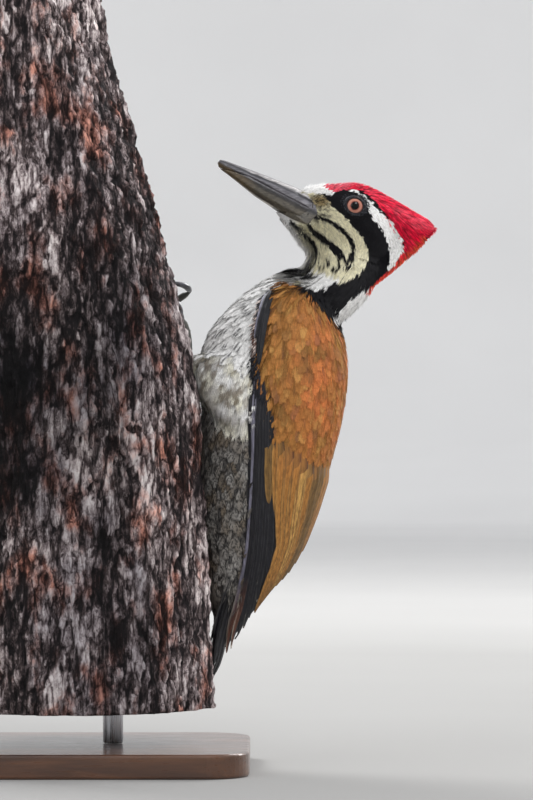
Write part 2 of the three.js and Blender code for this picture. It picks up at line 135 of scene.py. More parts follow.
class Surface:
    """A closed mesh of triangles, in millimetres, that can say which of its points is nearest."""

    def __init__(self, vertices, triangles, normals):
        self.vertices = vertices
        self.triangles = triangles
        self.normals = normals
        self.tree = BVHTree.FromPolygons(vertices.tolist(), triangles.tolist())

    def nearest(self, places):
        """The nearest points, the smooth normals there and the triangles they lie on."""
        found = [self.tree.find_nearest(p) for p in places.tolist()]
        points = np.array([f[0] for f in found])
        faces = np.array([f[2] for f in found])
        return points, self.normals_at(points, faces), faces

    def normals_at(self, points, faces):
        """The smooth normals at points on these triangles."""
        corners = self.triangles[faces]
        a, b, c = (self.vertices[corners[:, k]] for k in range(3))
        ab, ac, ap = b - a, c - a, points - a
        d00, d01, d11 = (ab * ab).sum(1), (ab * ac).sum(1), (ac * ac).sum(1)
        d20, d21 = (ap * ab).sum(1), (ap * ac).sum(1)
        area = np.maximum(d00 * d11 - d01 * d01, 1e-12)
        v = held((d11 * d20 - d01 * d21) / area)
        w = held((d00 * d21 - d01 * d20) / area)
        u = held(1 - v - w)
        na, nb, nc = (self.normals[corners[:, k]] for k in range(3))
        return unit(na * u[:, None] + nb * v[:, None] + nc * w[:, None])


def arrays_of(mesh):
    """A mesh's vertices in millimetres, its triangles and its vertex normals."""
    mesh.calc_loop_triangles()
    vertices = np.empty(len(mesh.vertices) * 3)
    mesh.vertices.foreach_get("co", vertices)
    triangles = np.empty(len(mesh.loop_triangles) * 3, np.int32)
    mesh.loop_triangles.foreach_get("vertices", triangles)
    normals = np.empty(len(mesh.vertices) * 3)
    mesh.vertices.foreach_get("normal", normals)
    return vertices.reshape(-1, 3) / MM, triangles.reshape(-1, 3), normals.reshape(-1, 3)


def merged_copy(node, grow=0.0):
    """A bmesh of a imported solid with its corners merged, moved out all round by grow millimetres."""
    bm = bmesh.new()
    bm.from_mesh(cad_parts[node].data)
    bmesh.ops.remove_doubles(bm, verts=bm.verts, dist=1e-6)
    bm.normal_update()
    if grow:
        for vertex in bm.verts:
            vertex.co += vertex.normal * grow * MM
    return bm


def joined_mesh(nodes, grow=0.0):
    """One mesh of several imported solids, and for each triangle the place of its node in the list."""
    joined = bmesh.new()
    owners = []
    for i, node in enumerate(nodes):
        bm = merged_copy(node, grow)
        bmesh.ops.triangulate(bm, faces=bm.faces)
        owners += [i] * len(bm.faces)
        piece = bpy.data.meshes.new("joining")
        bm.to_mesh(piece)
        bm.free()
        joined.from_mesh(piece)
        bpy.data.meshes.remove(piece)
    mesh = bpy.data.meshes.new("joined")
    joined.to_mesh(mesh)
    joined.free()
    return mesh, np.array(owners)


def finished_mesh(obj):
    """The mesh of an object with its modifiers applied. The object is removed."""
    graph = bpy.context.evaluated_depsgraph_get()
    mesh = bpy.data.meshes.new_from_object(obj.evaluated_get(graph))
    bpy.data.objects.remove(obj)
    return mesh


def linked(name, mesh):
    obj = bpy.data.objects.new(name, mesh)
    bpy.context.scene.collection.objects.link(obj)
    return obj


def remeshed(mesh, voxel, smoothing):
    """The mesh as one even closed surface, with voxels of that many millimetres, smoothed a few times."""
    obj = linked("remeshing", mesh)
    remesh = obj.modifiers.new("remesh", "REMESH")
    remesh.mode = "VOXEL"
    remesh.voxel_size = voxel * MM
    remesh.use_smooth_shade = True
    smooth = obj.modifiers.new("smooth", "SMOOTH")
    smooth.factor = 0.5
    smooth.iterations = smoothing
    return finished_mesh(obj)


def move_to(mesh, places):
    """Moves a mesh's vertices to these places in millimetres."""
    mesh.vertices.foreach_set("co", (places * MM).ravel())


def edge_average(values, edges, rounds):
    """Values at a mesh's vertices, evened out along its edges."""
    count = np.bincount(edges.ravel(), minlength=len(values)).astype(float)
    for _ in range(rounds):
        total = np.bincount(edges[:, 0], values[edges[:, 1]], len(values))
        total += np.bincount(edges[:, 1], values[edges[:, 0]], len(values))
        values = (values + total / np.maximum(count, 1)) / 2
    return values


# ---- the lie of the plumage

# Places in the side view and the way that feathers point there, both as back and up in the head's axes.
HEAD_LIE = [
    (-30, -2, 1, 0.25), (-30, -20, 1, -0.3), (-20, 2, 1, 0.3), (-12, 8, 1, 0.35), (0, 13, 1, 0.05),
    (12, 12, 1, -0.05), (25, 10, 1, 0), (38, 9, 1, 0.1), (33, -4, 0.9, -0.3), (30, -16, 0.45, -0.9),
    (26, -26, 0.1, -1), (-10, 0, 1, -0.2), (8, 4, 1, -0.25), (18, 0, 0.85, -0.5), (26, -10, 0.45, -0.9),
    (10, -8, 0.85, -0.55), (18, -20, 0.2, -1), (-14, -12, 1, -0.15), (0, -13, 1, -0.2),
    (9, -19, 0.5, -0.87), (12, -28, -0.1, -1), (-14, -20, 0.95, -0.3), (0, -23, 0.9, -0.45),
    (-24, -22, 0.9, -0.4), (-12, -30, 0.7, -0.7), (-2, -33, 0.6, -0.8), (14, -40, -0.5, -0.85),
    (22, -38, -0.35, -0.95),
]
# The same for the body in x and height.
BODY_LIE = [
    (134, 246, -0.8, -0.6), (146, 232, -0.55, -0.85), (122, 244, -0.9, -0.45), (106, 232, -0.8, -0.6),
    (92, 222, -0.72, -0.7), (80, 206, -0.4, -0.9), (136, 224, 0.15, -1), (120, 228, -0.1, -1),
    (146, 216, 0.15, -1), (148, 190, 0, -1), (140, 150, -0.25, -1), (125, 105, -0.35, -1),
    (108, 76, -0.5, -0.9), (120, 190, -0.05, -1), (112, 150, -0.08, -1), (104, 100, -0.15, -1),
    (92, 60, -0.3, -0.95), (96, 195, -0.25, -1), (80, 185, -0.2, -1), (76, 150, 0.02, -1),
    (76, 110, 0.08, -1), (82, 75, 0.05, -1), (84, 50, 0, -1),
]


def lie_table():
    """All places in the side view, and the ways there."""
    places = [on_head(*row[:2]) for row in HEAD_LIE] + [row[:2] for row in BODY_LIE]
    ways = [head_direction(*row[2:]) for row in HEAD_LIE] + [row[2:] for row in BODY_LIE]
    return np.array(places), unit(np.array(ways, float))


LIE_PLACES, LIE_WAYS = lie_table()


def lie_at(points):
    """The way that feathers point at these places, before it is laid into the surface."""
    apart = np.linalg.norm(points[:, None, [0, 2]] - LIE_PLACES[None], axis=2)
    weight = 1 / (apart + 1.5) ** 3
    way = unit((weight[:, :, None] * LIE_WAYS[None]).sum(1))
    return np.stack([way[:, 0], np.zeros(len(points)), way[:, 1]], 1)


def laid_into(ways, normals):
    """Directions turned into the surface that has these normals."""
    return unit(ways - normals * (ways * normals).sum(1, keepdims=True))


# ---- markings

# Lines of the head's markings, in its own axes, from front to back.
CROWN_EDGE = [
    (-34, -1), (-20, 0.2), (-13, 1.6), (-9, 5), (-2.3, 8.3), (3.4, 7.9), (10.7, 5), (16.9, 3), (23, -0.4),
    (28.5, -4), (30.4, -8), (30.6, -15), (26, -30),
]
BROW = [
    (-4.8, 6.9, 0.4), (1.5, 6.6, 0.9), (6.5, 3.9, 1.8), (11.5, 1, 2.6), (18, -1.4, 3.2), (24, -4, 3.8),
    (28, -8, 3.8), (29.8, -12.5, 2.8), (30.3, -17.5, 1.6), (29.6, -21.5, 0.6),
]
CHEEK = [
    (-15.5, -2.6), (-10, -5.2), (0.4, -8.4), (9, -11.6), (14.6, -15.5), (17.7, -19), (19.5, -23.2),
    (18.3, -30.8), (13, -37), (6.9, -41.5), (2.6, -46.9), (-20, -52), (-60, -52), (-60, 0), (-20, 0),
]
CROWN = CROWN_EDGE + [(22, -42), (70, -42), (70, 50), (-34, 50)]
UPPER_LINE = [
    (-15.5, -14.9, 0.7), (-11.6, -13.6, 0.9), (-6.7, -13, 1.0), (-0.2, -13.8, 1.1), (5.7, -15.9, 1.1),
    (9.2, -19.2, 1.1), (10.9, -22.5, 1.2), (11.8, -27.5, 1.5),
]
LOWER_LINE = [
    (-16.5, -19.4, 0.9), (-12, -21.4, 1.3), (-6.9, -22.4, 1.7), (-0.3, -23.3, 1.7), (5, -25.5, 1.4),
    (9.6, -28, 1.1),
]
THROAT_LINE = [
    (-25, -21.8, 0.7), (-16.1, -24.7, 1.1), (-9.9, -26.8, 1.3), (-6.5, -30, 1.4), (-5.6, -33.4, 1.2),
    (-7.4, -37.5, 0.8),
]
NECK_PATCH = [
    (-12, -45.4), (-4.5, -39.6), (7.9, -37.6), (11.6, -35.4), (5.8, -45.4), (1.2, -47.6), (-7.7, -47.6),
]
HIND_TUFT = [(29.5, -31, 1.2), (27.5, -36, 3.2), (23.6, -43, 3.4), (20.5, -50, 2.6), (18.6, -55.5, 1.2)]
BREAST_MARK = [(-17.5, -46.5, 1.2), (-12, -43.5, 2.2), (-6, -42.6, 1.9), (-2.5, -42.2, 1.0)]
BLOTCHES = [
    (-3.4, -34.5), (1.5, -32.5), (8.2, -31), (11.2, -29.5), (5.6, -33.4), (-6.5, -39.5), (-0.5, -36.4),
]


def beside_line(back, up, line):
    """How far places are from a line of (back, up) points, and its half width there if it has one."""
    best = np.full(len(back), 1e9)
    width = np.zeros(len(back))
    here = np.stack([back, up], 1)
    for a, b in zip(line, line[1:]):
        start, step = np.array(a[:2]), np.array(b[:2]) - np.array(a[:2])
        share = held(((here - start) @ step) / (step @ step))
        apart = np.linalg.norm(here - start - share[:, None] * step, axis=1)
        closer = apart < best
        best = np.where(closer, apart, best)
        if len(a) > 2:
            width = np.where(closer, a[2] + share * (b[2] - a[2]), width)
    return best, width


def on_line(back, up, line):
    """True where a place is inside a line's width."""
    apart, width = beside_line(back, up, line)
    return apart < width


def inside(back, up, outline):
    """True where a place is inside a closed outline."""
    within = np.zeros(len(back), bool)
    for (x1, y1), (x2, y2) in zip(outline, outline[1:] + outline[:1]):
        crosses = (y1 > up) != (y2 > up)
        reach = x1 + (up - y1) * (x2 - x1) / ((y2 - y1) or 1e-9)
        within ^= crosses & (back < reach)
    return within


def near_spots(back, up, spots, radius):
    """True where a place is near one of these spots."""
    apart = np.stack([np.hypot(back - s[0], up - s[1]) for s in spots])
    return apart.min(0) < radius


COLOURS = {
    "horn": (76, 70, 62), "crimson": (240, 14, 62), "rose": (246, 118, 136), "dark_red": (128, 8, 34),
    "flame": (236, 110, 62), "snow": (228, 227, 225), "white": (253, 252, 250), "cream": (236, 230, 200),
    "buff": (170, 146, 96), "blush": (242, 226, 218), "jet": (20, 19, 23), "gold": (158, 108, 52),
    "amber": (206, 120, 66), "straw": (186, 142, 78), "olive": (112, 84, 46), "slate": (36, 36, 42),
    "coal": (25, 25, 29), "rust": (116, 78, 64), "ash": (150, 146, 140), "lilac": (134, 132, 148),
    "down": (196, 190, 176), "mud": (112, 92, 62),
}
COLOURS = {name: display(*tint) for name, tint in COLOURS.items()}


def plain(points, colour):
    """One colour at every place."""
    return np.tile(COLOURS[colour], (len(points), 1))


def painted(target, where, colour):
    target[where] = COLOURS[colour]


def blended(target, share, colour):
    """Mixes a share of a colour, by name or as it is, into colours."""
    tint = np.array(COLOURS.get(colour, colour))
    target[:] = target * (1 - share[:, None]) + tint * share[:, None]


def wavy(points, size, seed=0.0):
    """Soft noise from 0 to 1 at these places, with lumps of about that many millimetres."""
    offset = Vector((seed, seed * 0.7, seed * 1.3))
    return np.array([0.5 + 0.5 * noise.noise(Vector(p) / size + offset) for p in points.tolist()])


def forehead_edge(back):
    """The height of the white forehead's lower edge."""
    return -7.0 + 0.42 * (back + 28.8)


def head_markings(points):
    """The head's and neck's colours, the same on both sides."""
    back, aside, up = head_axes(points)
    side = np.abs(aside)
    colour = plain(points, "cream")
    streaks = wavy(points, 1.6, 4)
    throat = held((8.5 - side) / 3) * (up < -16)
    blended(colour, throat, "white")
    lore = held(1.5 - np.hypot((back + 16) / 1.4, up + 5.6 - 0.25 * (back + 16)) / 3.2)
    blended(colour, lore * 0.9, "buff")
    gape = held(1.4 - np.hypot(back + 12.5, (up + 10.5) / 1.3) / 4)
    blended(colour, held((lore + gape) * 2) * (streaks > 0.53) * 0.8, "jet")
    for line, least in ((UPPER_LINE, 3), (LOWER_LINE, 3), (THROAT_LINE, 2)):
        painted(colour, on_line(back, up, line) & (side > least), "jet")
    painted(colour, near_spots(back, up, BLOTCHES, 1.5) & (streaks > 0.42), "jet")
    painted(colour, ~inside(back, up, CHEEK), "jet")
    painted(colour, inside(back, up, NECK_PATCH), "white")
    painted(colour, (up < -39.5) & (back < -10), "snow")
    painted(colour, on_line(back, up, BREAST_MARK), "jet")
    painted(colour, on_line(back, up, HIND_TUFT), "white")
    painted(colour, on_line(back, up, BROW), "white")
    painted(colour, (back < -12) & (up > forehead_edge(back)), "white")
    painted(colour, inside(back, up, BILL_BASE) & (up < -8) & (up > -19.6), "horn")
    return colour


def is_crown(points):
    """True where the crown and crest are red."""
    back, _, up = head_axes(points)
    return inside(back, up, CROWN) & (back > -20) & (up > -32)


def crown_colours(points, rng):
    """Crimson with patchy rose painted highlights, strongest on top, darker strands, and flame along the
    lower edge.
    """
    back, _, up = head_axes(points)
    colour = plain(points, "crimson")
    # Rose painted highlights: patchy, and stronger the higher up the crown and crest.
    lights = np.clip(wavy(points, 5, 9) * 1.6 - 0.62, 0, 0.7) * np.clip(0.4 + up / 16, 0.15, 1)
    blended(colour, lights * 0.7 + 0.2 * rng.random(len(points)) * (up > 4), "rose")
    blended(colour, np.clip(rng.random(len(points)) * 2 - 1.35, 0, 0.65), "dark_red")
    blended(colour, np.clip((-5 - back) / 11, 0, 0.5), "rose")
    low = 35.5 - (-9 - up) * 0.36
    edge = held((back - low + 2.6) / 2.6) * (up < 2)
    blended(colour, edge * (0.25 + 0.7 * rng.random(len(points))), "flame")
    return colour


# Where the golden upperparts begin behind the wing's dark front, as (height, x) down the wing.
GOLD_FRONT = [
    (246, 118), (239.5, 113), (235, 109.5), (229.5, 106.8), (223, 108.6), (216.5, 107.2), (210, 106),
    (202, 103.8), (195, 104.8), (190, 108.8), (140, 108.8), (60, 106),
]


def between(value, rows):
    """Numbers read off rows of (height, number) that run from the top down."""
    heights = [row[0] for row in reversed(rows)]
    numbers = [row[1] for row in reversed(rows)]
    return np.interp(value, heights, numbers)


def upperpart_colours(points, rng):
    """Golden olive with orange tints over the back's middle, and straw lower down."""
    x, z = points[:, 0], points[:, 2]
    colour = plain(points, "gold")
    warm = np.exp(-(((x - 137) / 15) ** 2) - ((z - 192) / 36) ** 2)
    blended(colour, np.clip(warm * (wavy(points, 7, 2) * 2.6 - 0.45), 0, 0.95), "amber")
    blended(colour, np.clip((158 - z) / 50, 0, 0.35), "straw")
    blended(colour, np.clip(wavy(points * np.array([1, 1, 0.5]), 5, 6) * 2.2 - 1.1, 0, 0.55), "olive")
    fine = wavy(points * np.array([1, 1, 0.3]), 2.2, 3)
    blended(colour, np.clip(fine * 3 - 1.7, 0, 0.6), "straw")
    blended(colour, np.clip(1.15 - fine * 3, 0, 0.55), "rust")
    return colour * (0.9 + 0.2 * rng.random((len(points), 1)))


def wing_front_colours(points, rng):
    """The wing's dark front with its brown margin."""
    colour = plain(points, "slate")
    margin = (points[:, 0] < 103.4) & (points[:, 2] < 224) & (points[:, 2] > 204)
    dots = rng.random(len(points))
    blended(colour, margin * 0.7, "rust")
    blended(colour, margin * (dots < 0.35) * 0.7, "blush")
    blended(colour, margin * (dots > 0.75) * 0.7, "coal")
    edge = (points[:, 0] < between(points[:, 2], WING_LAP) + 1.6) & (points[:, 2] >= 220)
    blended(colour, edge * 0.75, "blush")
    return colour * (0.75 + 0.5 * rng.random((len(points), 1)))


def underpart_colours(points):
    """The pale colour of breast and belly at each place, and how far it is on the dark belly."""
    z = points[:, 2]
    pale = plain(points, "snow")
    belly = held((192 - z) / 18)
    blended(pale, belly * (0.55 + 0.4 * wavy(points, 8, 3)), "ash")
    blended(pale, (0.15 + np.clip(wavy(points, 6, 5) * 1.8 - 0.75, 0, 0.6)) * belly, "mud")
    return pale, belly


def thigh_colours(points):
    """Cream white with olive brown stains."""
    pale = plain(points, "white")
    blended(pale, np.clip(wavy(points, 7, 8) * 1.4 - 0.4, 0, 0.7), "cream")
    stain = wavy(points, 5, 1) * 0.6 + wavy(points, 2, 7) * 0.4
    blended(pale, np.clip(stain * 6 - 2.9, 0, 0.7) * held((points[:, 2] - 168) / 8), "mud")
    return pale


# ---- feathers as shapes

BARB_STEPS = 3


class Template:
    """A feather's shape: across from -1 to 1, along from 0 to 1, lift in millimetres, each barb's shade."""

    def __init__(self, bm):
        bm.verts.index_update()
        self.place = np.array([v.co[:] for v in bm.verts])
        shade = bm.verts.layers.float["shade"]
        self.shade = np.array([v[shade] for v in bm.verts])
        self.faces = np.array([[v.index for v in f.verts] for f in bm.faces], np.int32)
        bm.free()


def new_template():
    bm = bmesh.new()
    bm.verts.layers.float.new("shade")
    return bm


def add_barb(bm, root, tip, half_width, bend, twist, shade, steps=BARB_STEPS):
    """A clump of barbs as one narrow leaf that bends aside from root to tip, both (across, along)."""
    made = bmesh.ops.create_grid(bm, x_segments=1, y_segments=steps, size=0.5)
    layer = bm.verts.layers.float["shade"]
    root, tip = Vector((*root, 0)), Vector((*tip, 0))
    run = tip - root
    aside = Vector((run.y, -run.x, 0)).normalized()
    for vertex in made["verts"]:
        across, along = vertex.co.x * 2, vertex.co.y + 0.5
        width = half_width * (0.55 + 1.3 * along * (1 - along)) * (1 - along**4) ** 0.7 + 0.002
        centre = root + run * along + aside * bend * math.sin(math.pi * along)
        vertex.co = centre + aside * across * width
        vertex.co.z = twist * across * width + 0.05 * math.sin(math.pi * along)
        vertex[layer] = shade


def vane_width(along, tip_blunt):
    """Half the width of a feather's vane along its length, from 0 to 1."""
    return min(1, (along * 3.2 + 0.12)) * (1 - along**tip_blunt) ** 0.6


def contour_template(rng, pairs, blunt=3.2, rise=0.2, loose=0.12):
    """A body feather: pairs of barb clumps on both sides of the shaft, and three for its soft tip."""
    bm = new_template()
    for k in range(pairs):
        share = k / (pairs - 1)
        start = 0.06 + 0.8 * share
        for side in (-1, 1):
            end = min(start + rise * (1.1 - 0.35 * share) + 0.02, 1.02)
            reach = vane_width(min(end, 0.985), blunt) * (1 + loose * (rng.random() - 0.6))
            end += loose * 0.25 * (rng.random() - 0.4)
            shade = 0.88 + 0.24 * rng.random()
            spread = 0.055 + 0.32 / pairs
            add_barb(bm, (side * 0.02, start), (side * reach, end), spread, side * 0.05, side * 0.5, shade)
    for side in (-0.35, 0, 0.35):
        tip = (side, 1.02 - abs(side) * 0.12 + 0.03 * rng.random())
        add_barb(bm, (side * 0.2, 0.6), tip, 0.13, 0, 0.3, 1)
    return Template(bm)


def tuft_template(rng, strands, spread=0.8, steps=2, root_width=0.25, contrast=0.32, slim=1.0):
    """A small tuft: a fan of narrow strands from one root."""
    bm = new_template()
    for k in range(strands):
        place = 0 if strands == 1 else 2 * k / (strands - 1) - 1
        tip = (place * spread * (0.8 + 0.4 * rng.random()), 1 - 0.22 * abs(place) - 0.2 * rng.random())
        shade = 1 + contrast * (rng.random() - 0.5)
        width = slim * 1.15 / strands * (0.8 + 0.5 * rng.random())
        add_barb(bm, (place * root_width, 0), tip, width, 0.08 * (rng.random() - 0.5), 0.6, shade, steps)
    return Template(bm)


ALONG_NODES = np.array([0, 1 / 3, 2 / 3, 1])
ACROSS_NODES = np.array([-1.0, 0.0, 1.0])


def lagrange(values, nodes):
    """The weight of each node's value, for a smooth curve through the nodes read at these values."""
    weights = []
    for i, node in enumerate(nodes):
        others = [other for j, other in enumerate(nodes) if j != i]
        weights.append(np.prod([(values - other) / (node - other) for other in others], axis=0))
    return np.stack(weights, 1)


def lattice_weights(place):
    """How much each of a feather's 12 points counts at each vertex of its shape."""
    along = lagrange(place[:, 1], ALONG_NODES)
    across = lagrange(place[:, 0], ACROSS_NODES)
    return (along[:, :, None] * across[:, None, :]).reshape(len(place), -1)


def lattices(surface, roots, length, half_width, heights, kind, rng):
    """For each root the 12 points that its feather bends through."""
    points, normals, _ = surface.nearest(roots)
    ways = laid_into(lie_at(points), normals)
    turn = (rng.random(len(roots)) - 0.5) * kind.wander
    aside = np.cross(normals, ways)
    ways = unit(ways * np.cos(turn)[:, None] + aside * np.sin(turn)[:, None])
    grid = np.empty((len(roots), 4, 3, 3))
    for i in range(4):
        if i:
            step = points + ways * (length / 3)[:, None]
            landed, normals, _ = surface.nearest(step)
            loose = kind.freedom if i == 3 else kind.freedom * 0.4
            points = landed * (1 - loose) + step * loose
            flow = laid_into(lie_at(points), normals)
            ways = laid_into(ways * 0.55 + flow * 0.45, normals)
        aside = np.cross(normals, ways)
        for j, across in enumerate(ACROSS_NODES):
            if across == 0:
                place, up = points, normals
            else:
                place, up, _ = surface.nearest(points + aside * (across * half_width)[:, None])
            height = heights[i] - (kind.droop if across else 0)
            grid[:, i, j] = place + up * height[:, None]
    return grid.reshape(len(roots), 12, 3)


def scattered(surface, mask, spacing, rng):
    """Places spread evenly over the masked triangles, at least spacing apart."""
    corners = surface.vertices[surface.triangles[mask]]
    cross = np.cross(corners[:, 1] - corners[:, 0], corners[:, 2] - corners[:, 0])
    area = np.linalg.norm(cross, axis=1) / 2
    tries = int(5 * area.sum() / spacing**2) + 1
    chosen = rng.choice(len(area), tries, p=area / area.sum())
    a, b = rng.random(tries), rng.random(tries)
    flip = a + b > 1
    a[flip], b[flip] = 1 - a[flip], 1 - b[flip]
    t = corners[chosen]
    places = t[:, 0] + a[:, None] * (t[:, 1] - t[:, 0]) + b[:, None] * (t[:, 2] - t[:, 0])
    cells = {}
    kept = []
    keys = np.floor(places / spacing).astype(int).tolist()
    near = [(i, j, k) for i in (-1, 0, 1) for j in (-1, 0, 1) for k in (-1, 0, 1)]
    limit = spacing * spacing
    for index, (place, key) in enumerate(zip(places.tolist(), keys)):
        crowded = False
        for i, j, k in near:
            for other in cells.get((key[0] + i, key[1] + j, key[2] + k), ()):
                if sum((p - o) ** 2 for p, o in zip(place, other)) < limit:
                    crowded = True
                    break
            if crowded:
                break
        if not crowded:
            cells.setdefault(tuple(key), []).append(place)
            kept.append(index)
    return places[kept]


# ---- the skin's unwrap

# The middle of the body and closed wings at each height.
CORE_LINE = [
    (250, 130), (246, 128), (236, 123.5), (228, 117), (216, 112), (204, 109.5), (187, 107.5), (151, 102.9),
    (131, 99.7), (112, 96.3), (95, 92.2), (80, 88), (57, 85), (40, 82),
]
TUFT_PATCH = 0.003


def unwrapped(points, part):
    """Where places lie on a flat map of the skin, with body, legs and head rolled out apart."""
    whole = 2 * math.pi
    turn = np.arctan2(points[:, 1] - BIRD_Y, points[:, 0] - between(points[:, 2], CORE_LINE)) / whole
    u = 0.5 + 0.94 * turn
    v = 0.03 + 0.47 * (points[:, 2] - 40) / 212
    back, aside, up = head_axes(points)
    on_top = part == "head"
    head_turn = np.arctan2(aside, up + 12) / whole
    u = np.where(on_top, 0.5 + 0.94 * head_turn, u)
    v = np.where(on_top, 0.62 + 0.35 * held((back + 38) / 82), v)
    leg = part == "leg"
    side = np.sign(points[:, 1] - BIRD_Y)
    leg_turn = np.arctan2(points[:, 1] - BIRD_Y - side * 21, points[:, 2] - 194) / whole
    u = np.where(leg, 0.5 + side * 0.24 + 0.44 * leg_turn, u)
    v = np.where(leg, 0.52 + 0.08 * held((points[:, 0] - 60) / 50), v)
    return np.stack([np.clip(u, 0.01, 0.985), np.clip(v, 0.01, 0.985)], 1)


# ---- laying the coat


class Coat:
    """Feathers being gathered: for each batch its vertices, triangles, colours and flat map."""

    def __init__(self):
        self.batches = []

    def add(self, grid, template, tints, patches, roots):
        """Feathers of one shape. tints gives each feather's colour at each of the template's vertices."""
        weights = lattice_weights(template.place)
        places = np.einsum("nk,fkc->fnc", weights, grid)
        towards = unit(np.cross(grid[:, 10] - grid[:, 1], grid[:, 5] - grid[:, 3]))
        places += towards[:, None, :] * template.place[None, :, 2:3]
        outline = np.stack([template.place[:, 0] * 0.5, template.place[:, 1]], 1)
        flat = patches[:, None, :] + outline * TUFT_PATCH
        self.batches.append((places, template.faces, tints, flat, roots))

    def mesh(self, name, keep):
        """One mesh of the feathers whose roots keep() takes."""
        vertices, faces, colours, maps = [], [], [], []
        base = 0
        for places, corners, tints, flat, roots in self.batches:
            taken = keep(roots)
            count = int(taken.sum())
            if not count:
                continue
            size = places.shape[1]
            offsets = base + size * np.arange(count)
            vertices.append(places[taken].reshape(-1, 3))
            colours.append(tints[taken].reshape(-1, 3))
            maps.append(flat[taken].reshape(-1, 2))
            faces.append((corners[None] + offsets[:, None, None]).reshape(-1, corners.shape[1]))
            base += size * count
        return feather_mesh(name, *(np.concatenate(rows) for rows in (vertices, faces, colours, maps)))


def feather_mesh(name, vertices, faces, colours, flat):
    """A smooth mesh of four-sided faces with its colour at each vertex and its flat map."""
    mesh = bpy.data.meshes.new(name)
    mesh.vertices.add(len(vertices))
    move_to(mesh, vertices)
    mesh.loops.add(faces.size)
    mesh.loops.foreach_set("vertex_index", faces.ravel())
    mesh.polygons.add(len(faces))
    mesh.polygons.foreach_set("loop_start", np.arange(len(faces)) * faces.shape[1])
    mesh.polygons.foreach_set("use_smooth", np.ones(len(faces), bool))
    mesh.update(calc_edges=True)
    add_colours(mesh, colours)
    layer = mesh.uv_layers.new(name="OFBake")
    layer.data.foreach_set("uv", flat[faces.ravel()].ravel())
    return mesh


def add_colours(mesh, colours):
    layer = mesh.color_attributes.new("Plumage", "FLOAT_COLOR", "POINT")
    full = np.concatenate([colours, np.ones((len(colours), 1))], 1)
    layer.data.foreach_set("color", full.ravel())


# ---- sizes and colours a user would change


def length_property(name, description, millimetres):
    size = millimetres * MM
    return FloatProperty(name=name, description=description, default=size, min=0, unit="LENGTH")


def colour_property(name, description, colour):
    tint = COLOURS[colour]
    return FloatVectorProperty(
        name=name, description=description, default=tint, min=0, max=1, subtype="COLOR"
    )


class PlumageSizes(bpy.types.PropertyGroup):
    """Sizes of the skin and of the small feathers."""

    voxel: length_property("Skin detail", "Size of the skin's facets", 1.05)
    face_length: length_property("Face feathers", "Length of the feathers on cheeks and throat", 3.3)
    crown_length: length_property("Crown feathers", "Length of the crest's longest feathers", 12)
    neck_length: length_property("Neck feathers", "Length of the neck's feathers", 7.5)
    under_length: length_property("Breast feathers", "Length of the feathers on breast and belly", 10.5)
    thigh_length: length_property("Thigh feathers", "Length of the loose feathers on the legs", 8.5)
    upper_length: length_property("Back feathers", "Length of the back's feathers and wing coverts", 13.5)
    vane_thickness: length_property("Flight feather thickness", "Thickness of a stiff vane", 0.22)


class PlumageColours(bpy.types.PropertyGroup):
    """The plumage's main colours."""

    crimson: colour_property("Crest", "The red of crown and crest", "crimson")
    gold: colour_property("Back", "The golden olive of back and wings", "gold")
    snow: colour_property("White", "The white of brow, neck and breast", "snow")
    cream: colour_property("Cheek", "The cream of the cheek", "cream")
    jet: colour_property("Black", "The black of mask, lines and neck", "jet")
    slate: colour_property("Wing front", "The dark of the wing's front and the primaries", "slate")


def palette():
    """The markings' colours, with the ones a user may have changed."""
    chosen = bpy.context.scene.woodpecker_colours
    for name in PlumageColours.__annotations__:
        COLOURS[name] = tuple(getattr(chosen, name))


def size_mm(name):
    return getattr(bpy.context.scene.woodpecker_sizes, name) / MM


# ---- skin


FEATHERED = FLESH[:-2]
GAP_GROWTH = 0.22
COAT_DEPTH = {"head": 0.9, "crest": 1.9, "neck": 2.0, "body": 2.4, "wing": 1.5, "tail": 0.9, "leg": 1.9}


@cache
def packed_form():
    """The feathered solids as a mesh and as a surface, and each triangle's place in FEATHERED."""
    mesh, owners = joined_mesh(FEATHERED, GAP_GROWTH)
    return mesh, Surface(*arrays_of(mesh)), owners


@cache
def plumage():
    """The plumage's outer form as one even mesh, and as a surface."""
    mesh = remeshed(packed_form()[0], size_mm("voxel"), 5)
    return mesh, Surface(*arrays_of(mesh))


@cache
def node_surface(node):
    """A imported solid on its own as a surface."""
    mesh, _ = joined_mesh([node])
    return Surface(*arrays_of(mesh))


def owners_at(points):
    """The place in FEATHERED of the solid nearest to each point."""
    _, form, owners = packed_form()
    _, _, faces = form.nearest(points)
    return owners[faces]


def room_inside(surface):
    """How thick the form is under each vertex, measured straight inwards."""
    room = np.empty(len(surface.vertices))
    for i, (point, normal) in enumerate(zip(surface.vertices, surface.normals)):
        hit = surface.tree.ray_cast(Vector(point - normal * 0.05), Vector(-normal), 12)
        room[i] = hit[3] if hit[0] is not None else 12
    return room


def skin_depths(mesh, surface):
    """How deep the skin lies under the plumage's outside at each vertex."""
    edges = np.empty(len(mesh.edges) * 2, np.int32)
    mesh.edges.foreach_get("vertices", edges)
    edges = edges.reshape(-1, 2)
    owner = owners_at(surface.vertices[surface.triangles].mean(1))
    depth = np.zeros(len(surface.vertices))
    for i, node in enumerate(FEATHERED):
        corners = surface.triangles[owner == i].ravel()
        depth[corners] = COAT_DEPTH[node.split("_")[0]]
    depth = edge_average(depth, edges, 12)
    return np.minimum(depth, edge_average(room_inside(surface) * 0.36, edges, 4))


def skin_colours(points):
    """The same markings as the coat's, a little darker, as the feathers' roots are."""
    rng = np.random.default_rng(SEED)
    region = region_of(points)
    colour = np.empty((len(points), 3))
    for name, paint in REGION_PAINT.items():
        here = region == name
        if here.any():
            colour[here] = paint(points[here], rng)
    return colour * 0.62


